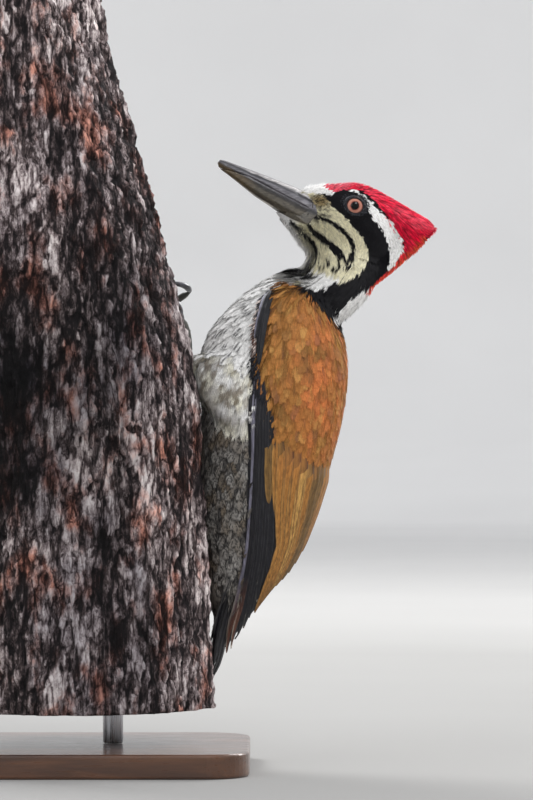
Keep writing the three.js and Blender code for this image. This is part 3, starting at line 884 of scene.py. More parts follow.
def put(name, mesh, material, replaced=()):
    """Puts a finished mesh in the scene, riding on the model, with its material and slot."""
    obj = linked(name, mesh)
    mesh.materials.clear()
    mesh.materials.append(material)
    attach(obj, "root")
    if replaced:
        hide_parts(*replaced)
    return obj


class MODEL_OT_skin(bpy.types.Operator):
    """One skin under the whole plumage, with the feet's scaly skin"""

    bl_idname = "woodpecker.skin"
    bl_label = "Skin"

    def execute(self, context):
        palette()
        form, surface = plumage()
        depth = skin_depths(form, surface)
        mesh = form.copy()
        move_to(mesh, surface.vertices - surface.normals * depth[:, None])
        add_colours(mesh, skin_colours(surface.vertices))
        feet = feet_mesh()
        joined = bmesh.new()
        joined.from_mesh(mesh)
        joined.from_mesh(feet)
        joined.to_mesh(mesh)
        joined.free()
        bpy.data.meshes.remove(feet)
        put("skin", mesh, skin_material(), FLESH)
        return {"FINISHED"}


def feet_mesh():
    """The two bare feet as even surfaces, coloured as skin."""
    mesh, _ = joined_mesh(["foot_left", "foot_right"])
    mesh = remeshed(mesh, 0.55, 3)
    vertices, _, normals = arrays_of(mesh)
    rings = np.array([noise.noise(Vector(p) / 1.3) for p in vertices.tolist()])
    move_to(mesh, vertices + normals * (0.12 * rings)[:, None])
    tone = 0.8 + 0.4 * wavy(vertices, 2.5)
    add_colours(mesh, np.array(display(92, 92, 88)) * tone[:, None])
    return mesh


# ---- small feathers

# The upper edge of the golden back below the neck, as (x, height).
MANTLE_TOP = [
    (116, 244), (120.4, 242.5), (126.5, 239.4), (131, 235.6), (137, 229.4), (142.6, 222.5), (150, 214),
]


# Where the breast's feathers lap over the closed wing's front edge, as (height, x).
WING_LAP = [
    (244, 106), (236, 103.6), (229, 102.6), (222, 100.2), (206, 99.9), (198, 98.6), (185, 98.8),
    (173, 99.4), (150, 99.4),
]


def region_of(points):
    """The kind of plumage at each place: crown, face, neck, under, thigh, upper, front or tail."""
    node = np.array(FEATHERED)[owners_at(points)]
    x, z = points[:, 0], points[:, 2]
    region = np.full(len(points), "under")
    below_neck = z < np.interp(x, *zip(*MANTLE_TOP))
    golden = below_neck & (x > between(z, GOLD_FRONT))
    behind = x > between(z, CORE_LINE) + 4
    wing = np.char.startswith(node, "wing")
    region[(node == "body") & golden & behind] = "upper"
    region[wing & golden] = "upper"
    region[wing & ~golden] = "front"
    region[wing & ~golden & (x < between(z, WING_LAP)) & (z > 150)] = "under"
    region[(wing | (node == "body")) & ~below_neck & (x > 116)] = "neck"
    region[node == "neck"] = "neck"
    region[np.isin(node, ["head", "crest"])] = "face"
    region[np.isin(node, ["head", "crest", "neck"]) & is_crown(points)] = "crown"
    region[np.char.startswith(node, "leg")] = "thigh"
    region[node == "tail"] = "tail"
    return region


def under_base(points, rng):
    """The underparts' colours before their spots and streaks."""
    pale, belly = underpart_colours(points)
    blended(pale, belly * 0.75, "coal")
    return pale


REGION_PAINT = {
    "face": lambda points, rng: head_markings(points),
    "neck": lambda points, rng: head_markings(points),
    "crown": crown_colours,
    "upper": upperpart_colours,
    "front": wing_front_colours,
    "under": under_base,
    "thigh": lambda points, rng: thigh_colours(points),
    "tail": lambda points, rng: plain(points, "coal"),
}


def plain_tints(colour, template, root_dark, second=None):
    """Each feather's own colour, darker at its root, with its brightest barbs turned to a second colour."""
    dark = 1 - root_dark * (1 - held(template.place[:, 1])) ** 1.5
    if colour.ndim == 2:
        colour = colour[:, None, :]
    tints = colour * (template.shade * dark)[None, :, None]
    if second:
        share = np.clip((template.shade - 1.04) * 5, 0, 0.6)[None, :, None]
        tints = tints * (1 - share) + np.array(COLOURS[second]) * share
    return tints


def underpart_tints(points, template, rng):
    """Dark streaks on the breast's white feathers, pale drops on the belly's dark ones."""
    pale, belly = underpart_colours(points)
    across, along = np.abs(template.place[:, 0]), template.place[:, 1]
    streaked = rng.random(len(points)) < 0.36
    edged = rng.random(len(points)) < 0.3
    streak = ((across < 0.2) & (along > 0.5) & (along < 0.95))[None] & streaked[:, None]
    edge = ((across > 0.7) & (along > 0.35))[None] & edged[:, None]
    spotted = rng.random(len(points))[:, None]
    wide = 0.4 + 0.35 * spotted
    drop = (across[None] < wide) & (along > 0.3)[None] & (along < 0.93)[None] & (spotted > 0.15)
    dark_on_breast = np.clip(streak * 0.8 + edge * 0.65, 0, 0.85)
    dark_on_belly = np.where(drop, 0.3 + 0.45 * (template.shade < 0.97), 0.82 + 0.12 * (template.shade < 1))
    dark = dark_on_breast * (1 - belly[:, None]) + dark_on_belly * belly[:, None]
    tints = plain_tints(pale, template, 0.35)
    return tints * (1 - dark[..., None]) + np.array(COLOURS["coal"]) * dark[..., None]


def face_paint(grid, shown, template):
    """The face's colours: one for a whole feather, but changing along it on the cheek's sharp lines."""
    whole = head_markings(shown)[:, None]
    root, tip = head_markings(grid[:, 4])[:, None], head_markings(grid[:, 10])[:, None]
    share = held(template.place[:, 1] * 2.4 - 0.7)[None, :, None]
    back, _, up = head_axes(grid[:, 7])
    sharp = inside(back, up, CHEEK)[:, None, None]
    return np.where(sharp, root * (1 - share) + tip * share, whole)


class SmallFeathers:
    """How one kind of small feather grows."""

    depth, lift, droop, freedom, wander = 1.5, 0.0, 0.1, 0.0, 0.3
    root_dark, jitter, second, where = 0.4, 0.25, None, None

    def __init__(self, region, spacing, length, half_width, template, **more):
        self.region = region
        self.spacing = spacing
        self.length = length
        self.half_width = half_width
        self.template = template
        for name, value in more.items():
            setattr(self, name, value)


def tufts(rng, count, strands, **more):
    return [tuft_template(rng, strands, **more) for _ in range(count)]


def small_kinds(rng):
    """Every kind of small feather, the lower layers first."""
    silky = tufts(rng, 8, 7, spread=0.95, steps=3, root_width=0.4, contrast=0.5, slim=0.75)
    webs = [contour_template(rng, 13, 3.2, 0.26, 0.2) for _ in range(4)]
    breast = [contour_template(rng, 10) for _ in range(4)]
    breast += tufts(rng, 3, 10, spread=0.95, steps=3, root_width=0.4)
    return [
        SmallFeathers("face", 0.75, size_mm("face_length"), 0.68, tufts(rng, 5, 5, contrast=0.5),
                      depth=0.9, droop=0.05, wander=0.4, root_dark=0.18, jitter=0.45),
        SmallFeathers("face", 0.9, size_mm("face_length") * 1.7, 0.6,
                      tufts(rng, 5, 3, spread=0.95, steps=3, contrast=0.15),
                      depth=0.4, lift=2.0, freedom=1, wander=1.6, root_dark=0.1, where=by_the_bill),
        SmallFeathers("crown", 1.0, size_mm("crown_length") * 0.85, 0.9,
                      tufts(rng, 8, 6, spread=0.75, steps=3, contrast=1.15, slim=0.8),
                      depth=1.7, lift=0.35, freedom=0.8, wander=0.55, root_dark=0.6, jitter=0.5),
        SmallFeathers("neck", 1.05, size_mm("neck_length"), 0.9,
                      tufts(rng, 6, 6, spread=0.8, steps=3, slim=0.9),
                      depth=1.8, lift=0.3, freedom=0.6, wander=0.6, root_dark=0.25, jitter=0.7),
        SmallFeathers("neck", 1.5, size_mm("neck_length") * 1.4, 0.7,
                      tufts(rng, 5, 4, spread=0.8, steps=3, contrast=0.5, slim=0.9),
                      depth=1.4, lift=3.6, freedom=1, wander=1.3, root_dark=0.45, jitter=0.9,
                      where=at_the_nape),
        SmallFeathers("under", 1.9, size_mm("under_length"), 2.7, breast,
                      depth=2.2, droop=0.25, freedom=0.2, wander=0.7),
        SmallFeathers("under", 1.8, size_mm("under_length") * 1.9, 2.4, breast,
                      depth=1.0, freedom=0.95, wander=0.35, where=at_the_vent),
        SmallFeathers("thigh", 1.35, size_mm("thigh_length"), 1.5,
                      tufts(rng, 6, 9, spread=0.85, steps=3, contrast=0.5),
                      depth=1.8, lift=0.9, freedom=0.8, wander=1.3, root_dark=0.45),
        SmallFeathers("front", 1.3, 5.2, 1.15, [contour_template(rng, 8, 3.6) for _ in range(4)],
                      depth=1.2, droop=0.15, wander=0.2, root_dark=0.2),
        SmallFeathers("upper", 2.8, size_mm("upper_length"), 3.7, webs,
                      depth=1.7, droop=0.2, wander=0.5, root_dark=0.15, second="amber"),
        SmallFeathers("upper", 1.5, size_mm("upper_length") * 1.1, 1.7, silky,
                      depth=1.2, lift=0.4, droop=0.3, freedom=0.2, wander=1.2, root_dark=0.1),
    ]


def by_the_bill(roots):
    """Where loose bristles stand off the face: the forehead's front and the chin."""
    back, _, up = head_axes(roots)
    return ((back < -16) & (up > forehead_edge(back))) | ((back < -14) & (up < -20.5))


def at_the_nape(roots):
    """Where white feathers stand off behind the neck."""
    back, _, up = head_axes(roots)
    return on_line(back, up, HIND_TUFT)


def at_the_vent(roots):
    """Where the long feathers under the tail's root begin."""
    return (roots[:, 2] < 100) & (roots[:, 0] < between(roots[:, 2], CORE_LINE) - 3)


COVERTS_END = [
    (100, 184), (109.3, 184), (109.9, 165), (113, 166), (120, 160), (130, 152), (140, 150), (150, 156),
]
EYE_CLEARANCE = 4.7
BILL_BASE = [
    (-26, -5.0), (-22.4, -6.8), (-17.6, -9.4), (-15, -12.4), (-16.6, -17.6), (-20.5, -20.9), (-25.6, -22.3),
    (-40, -24), (-40, -3),
]


def clear_of_pieces(roots, region):
    """Leaves out roots in the eyes' bare rings, on the bill and where flight feathers lie."""
    keep = np.ones(len(roots), bool)
    if region in ("face", "crown"):
        back, _, up = head_axes(roots)
        keep &= (back / 1.1) ** 2 + up**2 > EYE_CLEARANCE**2
        keep &= ~inside(back, up, BILL_BASE)
    if region in ("upper", "front"):
        keep &= roots[:, 2] > np.interp(roots[:, 0], *zip(*COVERTS_END))
    return keep


@cache
def plumage_regions():
    """The kind of plumage on each triangle of the plumage's surface."""
    _, surface = plumage()
    return region_of(surface.vertices[surface.triangles].mean(1))


def lay_kind(coat, kind, surface, rng):
    """Scatters, lays and colours all feathers of one kind."""
    roots = scattered(surface, plumage_regions() == kind.region, kind.spacing, rng)
    roots = roots[clear_of_pieces(roots, kind.region)]
    if kind.where:
        roots = roots[kind.where(roots)]
    rng.shuffle(roots)
    part = {"face": "head", "crown": "head", "thigh": "leg"}.get(kind.region, "body")
    for which, template in enumerate(kind.template):
        own = roots[which :: len(kind.template)]
        size = 0.82 + 0.36 * rng.random(len(own))
        length = kind.length * size
        half_width = kind.half_width * (0.85 + 0.3 * rng.random(len(own)))
        length, half_width = fitted(own, kind, length, half_width)
        lift = kind.lift + 0.25 * rng.random(len(own)) * kind.depth / 2
        heights = [lift * 0 - kind.depth * share for share in (0.92, 0.5, 0.2)] + [lift]
        grid = lattices(surface, own, length, half_width, heights, kind, rng)
        shown = grid[:, 7] + (rng.random((len(own), 3)) - 0.5) * 2 * kind.jitter
        if kind.region == "under":
            tints = underpart_tints(shown, template, rng)
        elif kind.region == "face":
            tints = plain_tints(face_paint(grid, shown, template), template, kind.root_dark)
        else:
            colour = REGION_PAINT[kind.region](shown, rng)
            tints = plain_tints(colour, template, kind.root_dark, kind.second)
        coat.add(grid, template, tints, unwrapped(own, part), own)


def fitted(roots, kind, length, half_width):
    """Shorter feathers near the bill, eyes and wing's front, and longer ones towards the crest's tip."""
    if kind.region == "upper":
        from_front = roots[:, 0] - between(roots[:, 2], GOLD_FRONT)
        from_top = np.interp(roots[:, 0], *zip(*MANTLE_TOP)) - roots[:, 2]
        share = np.clip(np.minimum(from_front, from_top) / 10, 0.25, 1)
        low = roots[:, 2] - np.interp(roots[:, 0], *zip(*COVERTS_END))
        share = share * (1 + 0.5 * held(1 - low / 14))
        return length * (0.35 + 0.65 * share), half_width * held(share)
    if kind.region == "front":
        share = np.clip((roots[:, 0] - 99) / 8, 0.35, 1)
        return length * share, half_width * share
    if kind.region not in ("face", "crown"):
        return length, half_width
    back, _, up = head_axes(roots)
    if kind.region == "crown":
        share = np.clip((back + 16) / 38, 0.3, 1.15)
        share = np.where(up < -4, np.clip(share, 0, 0.55), share)
        return length * share, half_width
    from_bill = np.clip((back + 34) / 26, 0.6, 1.1)
    from_eye = np.clip((np.hypot(back, up) - 3) / 6, 0.55, 1)
    share = from_bill * from_eye
    return length * share, half_width * np.sqrt(share)


class MODEL_OT_small_feathers(bpy.types.Operator):
    """The small feathers, in pieces that each run from the crown to the tail"""

    bl_idname = "woodpecker.small_feathers"
    bl_label = "Small feathers"

    def execute(self, context):
        palette()
        rng = np.random.default_rng(SEED + 1)
        _, surface = plumage()
        coat = Coat()
        for kind in small_kinds(rng):
            lay_kind(coat, kind, surface, rng)
        material = feather_material()
        for side, name in ((-1, "left"), (1, "right")):
            put_in_pieces(coat, side, name, material)
        return {"FINISHED"}


MOST_TRIANGLES = 185000


def put_in_pieces(coat, side, name, material):
    """The feathers of one side, dealt out over as many pieces as keep each under the limit."""
    own_side = lambda roots: (roots[:, 1] - BIRD_Y) * side > 0
    total = sum(2 * len(faces) * own_side(roots).sum() for _, faces, _, _, roots in coat.batches)
    pieces = int(total // MOST_TRIANGLES) + 1
    for k in range(pieces):
        dealt = lambda roots, k=k: own_side(roots) & (np.arange(len(roots)) % pieces == k)
        piece = f"small_feathers_{name}_{k + 1}"
        put(piece, coat.mesh(piece, dealt), material)


# ---- flight and tail feathers

VANE_COLUMNS = (-1, -0.88, -0.55, -0.1, 0, 0.1, 0.5, 0.85, 1)
VANE_ROWS = 36
VANE_ALONG = 1 - (1 - np.linspace(0, 1, VANE_ROWS)) ** 1.7

# Each closed flight feather, outermost first: base and tip as (x, height), half width and its colours.
PRIMARIES = [
    ((100.2, 190), (95.4, 86), 1.5, "coal"), ((102.4, 192), (92.4, 69), 2.0, "edged"),
    ((103.8, 194), (88.6, 56.5), 2.4, "leading"), ((105.2, 194), (91.0, 58.5), 2.6, "rusty"),
    ((106.6, 193), (94.4, 63), 2.8, "coal"), ((108.0, 191), (97.2, 68.5), 2.8, "fringed"),
    ((109.4, 189), (99.8, 74), 2.8, "coal"), ((110.8, 187), (103.6, 82), 2.8, "fringed"),
    ((112, 187), (108.8, 92), 3.0, "coal"),
]
SECONDARIES = [
    ((111, 187), (109.5, 131.5), 3.2, "dull"), ((114, 187), (113.4, 124), 3.2, "golden"),
    ((117, 185), (115.4, 108.5), 3.6, "golden"), ((0.22, 183), (0.16, 76.5), 4.2, "golden"),
    ((0.34, 181), (0.3, 80), 4.4, "golden"), ((0.46, 179), (0.44, 84), 4.6, "golden"),
    ((0.58, 178), (0.58, 88), 4.6, "bright"), ((0.69, 179), (0.7, 90), 4.6, "golden"),
    ((0.8, 180), (0.82, 93), 4.6, "olive"), ((0.88, 181), (0.91, 96.5), 4.6, "olive"),
    ((0.94, 182), (0.965, 101), 4.8, "golden"), ((0.98, 183), (0.993, 107), 5.0, "golden"),
]
ALULA = [
    ((110.5, 239), (102.9, 213), 1.6, "edged"), ((110.5, 236), (104.2, 207), 1.8, "slaty"),
    ((109.5, 231), (104.6, 200), 1.8, "slaty"),
]
# The side view's lines of the wing's front edge, and of the edge between the dark primaries and the golden
# inner feathers, as (height, x).
WING_FRONT = [
    (192.5, 100.4), (158, 100.4), (135, 99.7), (112, 98.5), (100.7, 97.2), (90.4, 95.2), (80, 93.2),
    (66, 89), (56, 87.2),
]
GOLD_EDGE = [
    (190, 111), (150, 111.5), (131, 112), (111, 114.3), (98.7, 111), (85.4, 105.8), (75.4, 101.2), (60, 95),
]
BACK_TURN = math.radians(5)
HEIGHT_STEP = 2.0
TURN_STEP = 4.0
OUTSIDE = 70


class WingForm:
    """How far a closed wing's outside lies from the bird's core line, by height and turn from the back."""

    def __init__(self, surface, side):
        self.side = side
        self.heights = np.arange(44, 248, HEIGHT_STEP)
        self.turns = np.radians(np.arange(-20, 150, TURN_STEP))
        radius = np.full((len(self.heights), len(self.turns)), np.nan)
        for i, height in enumerate(self.heights):
            core = Vector((between(height, CORE_LINE), BIRD_Y, height))
            for j, turn in enumerate(self.turns):
                way = Vector((math.cos(turn), side * math.sin(turn), 0))
                hit = surface.tree.ray_cast(core + way * OUTSIDE, -way, OUTSIDE - 1)
                if hit[0] is not None:
                    radius[i, j] = OUTSIDE - hit[3]
        self.radius = self.evened(radius)

    def evened(self, radius):
        """The table without gaps, and smoother."""
        for row in radius:
            known = ~np.isnan(row)
            if known.any():
                row[~known] = np.interp(self.turns[~known], self.turns[known], row[known])
        for column in radius.T:
            known = ~np.isnan(column)
            column[~known] = np.interp(self.heights[~known], self.heights[known], column[known])
        for _ in range(3):
            for axis in (0, 1):
                radius = (np.roll(radius, 1, axis) + 2 * radius + np.roll(radius, -1, axis)) / 4
                rows = radius if axis == 0 else radius.T
                rows[0], rows[-1] = rows[1], rows[-2]
        return radius

    def reach(self, turn, height):
        """How far out the wing's outside lies."""
        i = np.clip((height - self.heights[0]) / HEIGHT_STEP, 0, len(self.heights) - 1.001)
        j = np.clip((turn - self.turns[0]) / math.radians(TURN_STEP), 0, len(self.turns) - 1.001)
        low_i, low_j = i.astype(int), j.astype(int)
        fi, fj = i - low_i, j - low_j
        table = self.radius
        lower = table[low_i, low_j] * (1 - fj) + table[low_i, low_j + 1] * fj
        upper = table[low_i + 1, low_j] * (1 - fj) + table[low_i + 1, low_j + 1] * fj
        return lower * (1 - fi) + upper * fi

    def turn_at(self, x, height):
        """The turn at which the wing's outside shows at x in the side view."""
        turns = self.turns[self.turns >= 0]
        row = self.reach(turns, np.full(len(turns), float(height)))
        across = between(height, CORE_LINE) + row * np.cos(turns)
        return float(np.interp(-x, np.maximum.accumulate(-across), turns))

    def place(self, turn, height, lift):
        """Places lifted off the wing's outside."""
        out = self.reach(turn, height) + lift
        x = between(height, CORE_LINE) + out * np.cos(turn)
        y = BIRD_Y + self.side * out * np.sin(turn)
        return np.stack([x, y, height], -1)


def vane_outline(along, sharp):
    """Half the width of a stiff feather along its length, from 0 to 1."""
    return np.minimum(1, 0.35 + along * 4) * np.maximum(0, 1 - along**sharp) ** 0.5


def stiff_feather(form, base, tip, half_width, level, sharp, bow, rng):
    """The vertices of one stiff feather, row by row, over the closed wing's form.

    base and tip are (x, height) in the side view. An x of at most 1 is a share of the way from the golden
    edge to the wing's back, which the feather then follows. One that bows by nothing follows the front."""
    along = VANE_ALONG
    heights = base[1] + (tip[1] - base[1]) * along
    xs = base[0] + (tip[0] - base[0]) * along + bow * np.sin(np.pi * along)
    if tip[0] <= 1:
        edge = between(heights, GOLD_EDGE)
        reach = form.reach(np.full(VANE_ROWS, BACK_TURN), heights)
        back = between(heights, CORE_LINE) + reach * math.cos(BACK_TURN)
        xs = edge + xs * (back - edge)
    elif bow == 0:
        front = between(heights, WING_FRONT)
        xs += front - front[0] - (front[-1] - front[0]) * along
    turns = np.array([form.turn_at(x, z) for x, z in zip(xs, heights)])
    reach = form.reach(turns, heights)
    run = unit(np.stack([reach * np.gradient(turns), np.gradient(heights)], 1))
    out = held((np.interp(xs, *zip(*COVERTS_END)) + 4 - heights) / 12)
    lifts = (1 - out) * -1.5 + out * level
    width = half_width * vane_outline(along, sharp)
    rows = []
    for across in VANE_COLUMNS:
        frayed = 1 + 0.06 * (rng.random(VANE_ROWS) - 0.5) * (abs(across) > 0.95)
        apart = across * width * frayed
        turn = turns + apart * run[:, 1] / np.maximum(reach, 4)
        height = heights - apart * run[:, 0]
        ridge = 0.14 if across == 0 else 0.0
        cup = -0.3 * abs(across) ** 2 if across > 0 else -0.12 * abs(across) ** 2
        rows.append(form.place(turn, height, lifts + ridge + cup))
    return np.stack(rows, 1).reshape(-1, 3)


def vane_template():
    """The grid of a stiff feather as (across, along) and its faces."""
    bm = bmesh.new()
    bmesh.ops.create_grid(bm, x_segments=len(VANE_COLUMNS) - 1, y_segments=VANE_ROWS - 1, size=0.5)
    order = sorted(bm.verts, key=lambda v: (round(v.co.y, 5), v.co.x))
    rank = {v.index: i for i, v in enumerate(order)}
    faces = np.array([[rank[v.index] for v in f.verts] for f in bm.faces], np.int32)
    bm.free()
    along = np.repeat(VANE_ALONG, len(VANE_COLUMNS))
    across = np.tile(VANE_COLUMNS, VANE_ROWS)
    return across, along, faces


def vane_colours(kind, across, along, rng):
    """A stiff feather's colours: outer web, dark inner web, shaft and tip."""
    outer = across <= 0.02
    tone = 0.92 + 0.16 * rng.random()
    base = {"golden": "gold", "bright": "straw", "olive": "olive", "dull": "olive"}.get(kind, "coal")
    colour = plain(across, base) * tone
    if base != "coal":
        blended(colour, (~outer) * 0.6, "olive")
        blended(colour, (across > 0.5) * 0.75, "coal")
        blended(colour, (np.abs(across) < 0.05) * 0.55, "mud")
        # A painted shadow line on the very outer edge, where it overlaps the feather below, and a painted
        # highlight just inside it.
        blended(colour, (across < -0.8) * 0.3, "straw")
        blended(colour, (across < -0.95) * 0.8, "mud")
        blended(colour, np.clip(along * 4 - 3.4, 0, 0.55), "olive")
        blended(colour, np.clip(0.42 - along, 0, 0.35), "amber")
    else:
        blended(colour, (np.abs(across) < 0.05) * 0.1 + (across < -0.95) * 0.18, "ash")
        blended(colour, outer * 0.4, "slate")
    if kind == "edged":
        blended(colour, (across < -0.5) * 0.8, "lilac")
    if kind == "leading":
        blended(colour, (across < -0.5) * np.clip(4.6 - along * 5, 0, 0.8), "lilac")
    if kind in ("rusty", "leading"):
        blended(colour, np.clip(along * 5 - 3.7, 0, 0.75) * outer, "rust")
        blended(colour, np.clip(along * 5 - 3.7, 0, 0.5) * (across < -0.8), "down")
    if kind in ("rusty", "fringed"):
        tip = along > 0.985
        blended(colour, tip * 0.7 + ~tip * (across < -0.95) * (along > 0.9) * 0.4, "down")
    return colour


def stiff_mesh(name, feathers):
    """One mesh of stiff feathers, each given by its vertices and colours."""
    across, along, faces = vane_template()
    size = len(across)
    vertices = np.concatenate([places for places, _ in feathers])
    colours = np.concatenate([tints for _, tints in feathers])
    every = np.concatenate([faces + size * i for i in range(len(feathers))])
    strip = 0.96 / len(feathers)
    flat = []
    for i in range(len(feathers)):
        u = 0.02 + i * strip + strip * 0.86 * (across + 1) / 2
        flat.append(np.stack([u, 0.02 + 0.96 * along], 1))
    mesh = feather_mesh(name, vertices, every, colours, np.concatenate(flat))
    layer = mesh.uv_layers.new(name="Vane")
    places = np.tile(np.stack([across, along], 1), (len(feathers), 1))
    layer.data.foreach_set("uv", places[every.ravel()].ravel())
    return mesh


def stiffened(obj, thickness):
    """Gives the vanes of a piece their thickness."""
    wall = obj.modifiers.new("thickness", "SOLIDIFY")
    wall.thickness = thickness * MM
    wall.offset = -1


LOWEST_VANE = -0.9
VANE_STEP = 0.11


def alula_lifted(places, along):
    """Brings the bastard wing's feathers up from under the coverts to lie on them."""
    core = np.stack([between(places[:, 2], CORE_LINE), np.full(len(places), BIRD_Y), places[:, 2]], 1)
    return places + unit(places - core) * (2.3 * np.clip(along * 5, 0.3, 1))[:, None]


class MODEL_OT_wings(bpy.types.Operator):
    """The closed wings' primaries, secondaries and tertials"""

    bl_idname = "woodpecker.wings"
    bl_label = "Wings"

    def execute(self, context):
        palette()
        _, surface = plumage()
        across, along, _ = vane_template()
        for side, name in ((-1, "left"), (1, "right")):
            rng = np.random.default_rng(SEED + 2)
            form = WingForm(surface, side)
            feathers = []
            for order, (base, tip, half_width, kind) in enumerate(PRIMARIES + SECONDARIES):
                inner = order >= len(PRIMARIES)
                level = LOWEST_VANE + VANE_STEP * order
                bow = 0.3 if inner and tip[0] > 1 else 0.0
                places = stiff_feather(form, base, tip, half_width, level, 4.2 if inner else 5, bow, rng)
                feathers.append((places, vane_colours(kind, across, along, rng)))
            for order, (base, tip, half_width, kind) in enumerate(ALULA):
                places = stiff_feather(form, base, tip, half_width, 0.4 + 0.15 * order, 4, -0.8, rng)
                places = alula_lifted(places, along)
                feathers.append((places, vane_colours(kind, across, along, rng)))
            mesh = stiff_mesh(f"flight_feathers_{name}", feathers)
            obj = put(f"flight_feathers_{name}", mesh, vane_material())
            stiffened(obj, size_mm("vane_thickness"))
        return {"FINISHED"}


# The tail's feathers from the middle outwards: distance aside at base and tip, tip height and half width.
TAIL_PAIRS = [
    (1.2, 2.6, 42.8, 3.3), (3.0, 5.2, 46, 3.4), (4.6, 7.6, 51.5, 3.5), (6.0, 9.8, 58, 3.4),
    (7.2, 11.6, 66, 3.0),
]
TAIL_TOP = 108
TAIL_STEP = 0.75
TAIL_TENT = 0.028
TAIL_SWING = [(110, 0), (90, 2.0), (71, 3.1), (57, 2.8), (50, 1.8), (42, -0.8)]


def tail_ridge(surface):
    """The back of the tail along its middle, as (height, x) from the top down."""
    rows = []
    for z in np.arange(TAIL_TOP + 2, 40, -2.0):
        hit = surface.tree.ray_cast(Vector((160, BIRD_Y, z)), Vector((-1, 0, 0)), 200)
        if hit[0] is not None:
            rows.append((float(z), hit[0][0]))
    return rows


def tail_feather(ridge, order, side, sizes, rng):
    """The vertices of one tail feather, row by row, laid like a roof with its pair on the other side."""
    base_out, tip_out, tip_height, half_width = sizes
    along = VANE_ALONG
    heights = TAIL_TOP + (tip_height - TAIL_TOP) * along
    out = base_out + (tip_out - base_out) * along
    width = half_width * vane_outline(along, 3.5)
    rows = []
    for across in VANE_COLUMNS:
        frayed = 1 + 0.12 * (rng.random(VANE_ROWS) - 0.5) * (abs(across) > 0.95)
        aside = out - across * width * frayed
        raised = 0.2 if across == 0 else -0.15 * abs(across)
        x = between(heights, ridge) + between(heights, TAIL_SWING)
        x = x - order * TAIL_STEP - TAIL_TENT * aside**2 + raised
        rows.append(np.stack([x, BIRD_Y + side * aside, heights], -1))
    return np.stack(rows, 1).reshape(-1, 3)


class MODEL_OT_tail(bpy.types.Operator):
    """The stiff tail feathers that prop the bird against the trunk"""

    bl_idname = "woodpecker.tail"
    bl_label = "Tail"

    def execute(self, context):
        palette()
        rng = np.random.default_rng(SEED + 3)
        ridge = tail_ridge(node_surface("tail"))
        across, along, _ = vane_template()
        feathers = []
        for order, sizes in enumerate(TAIL_PAIRS):
            for side in (-1, 1):
                places = tail_feather(ridge, order, side, sizes, rng)
                feathers.append((places, vane_colours("coal", across, along, rng)))
        obj = put("tail_feathers", stiff_mesh("tail_feathers", feathers), vane_material())
        stiffened(obj, size_mm("vane_thickness") * 1.3)
        return {"FINISHED"}


# ---- eyes, lids, bill and claws

CORNEA_ANGLE = 0.72
LID_PROFILE = [
    (3.62, 3.6), (3.68, 4.05), (3.85, 4.45), (4.15, 4.55), (4.4, 4.3), (4.65, 4.42), (5.0, 4.4), (5.5, 4.0),
    (6.2, 3.4), (7, 2.6),
]
LID_LONG, LID_HIGH = 1.12, 0.95
LID_TUCK = 0.35


def side_turn(side):
    """Turns +Z to look out of the head on one side."""
    return Matrix.Rotation(side * math.radians(-90), 4, "X")


def spun(bm, profile, steps):
    """Turns a profile of (radius, height) right round the upright axis."""
    corners = [bm.verts.new((radius, 0, height)) for radius, height in profile]
    edges = [bm.edges.new(pair) for pair in zip(corners, corners[1:])]
    bmesh.ops.spin(bm, geom=corners + edges, cent=(0, 0, 0), axis=(0, 0, 1), angle=2 * math.pi, steps=steps,
                   use_merge=True, use_duplicate=False)


class MODEL_OT_eyes(bpy.types.Operator):
    """The two eyes, with a clear bulge over the iris"""

    bl_idname = "woodpecker.eyes"
    bl_label = "Eyes"

    def execute(self, context):
        material = eye_material()
        for side, name in ((-1, "eye_left"), (1, "eye_right")):
            bm = bmesh.new()
            ring = bm.verts.layers.float.new("Around")
            bmesh.ops.create_uvsphere(bm, u_segments=48, v_segments=32, radius=EYE_RADIUS * MM)
            for vertex in bm.verts:
                angle = vertex.co.angle(Vector((0, 0, 1)))
                vertex[ring] = angle / math.pi
                bulge = max(0, 1 - (angle / CORNEA_ANGLE) ** 2) * 0.3 * MM
                vertex.co += vertex.co.normalized() * bulge
            place = Matrix.Translation(Vector(EYES[side]) * MM) @ side_turn(side)
            bmesh.ops.transform(bm, matrix=place, verts=bm.verts)
            bmesh.ops.recalc_face_normals(bm, faces=bm.faces)
            put(name + "ball", mesh_of(name, bm), material, (name,))
        return {"FINISHED"}


def mesh_of(name, bm, smooth=True):
    """The finished mesh of a bmesh."""
    mesh = bpy.data.meshes.new(name)
    for face in bm.faces:
        face.smooth = smooth
    bm.to_mesh(mesh)
    bm.free()
    return mesh


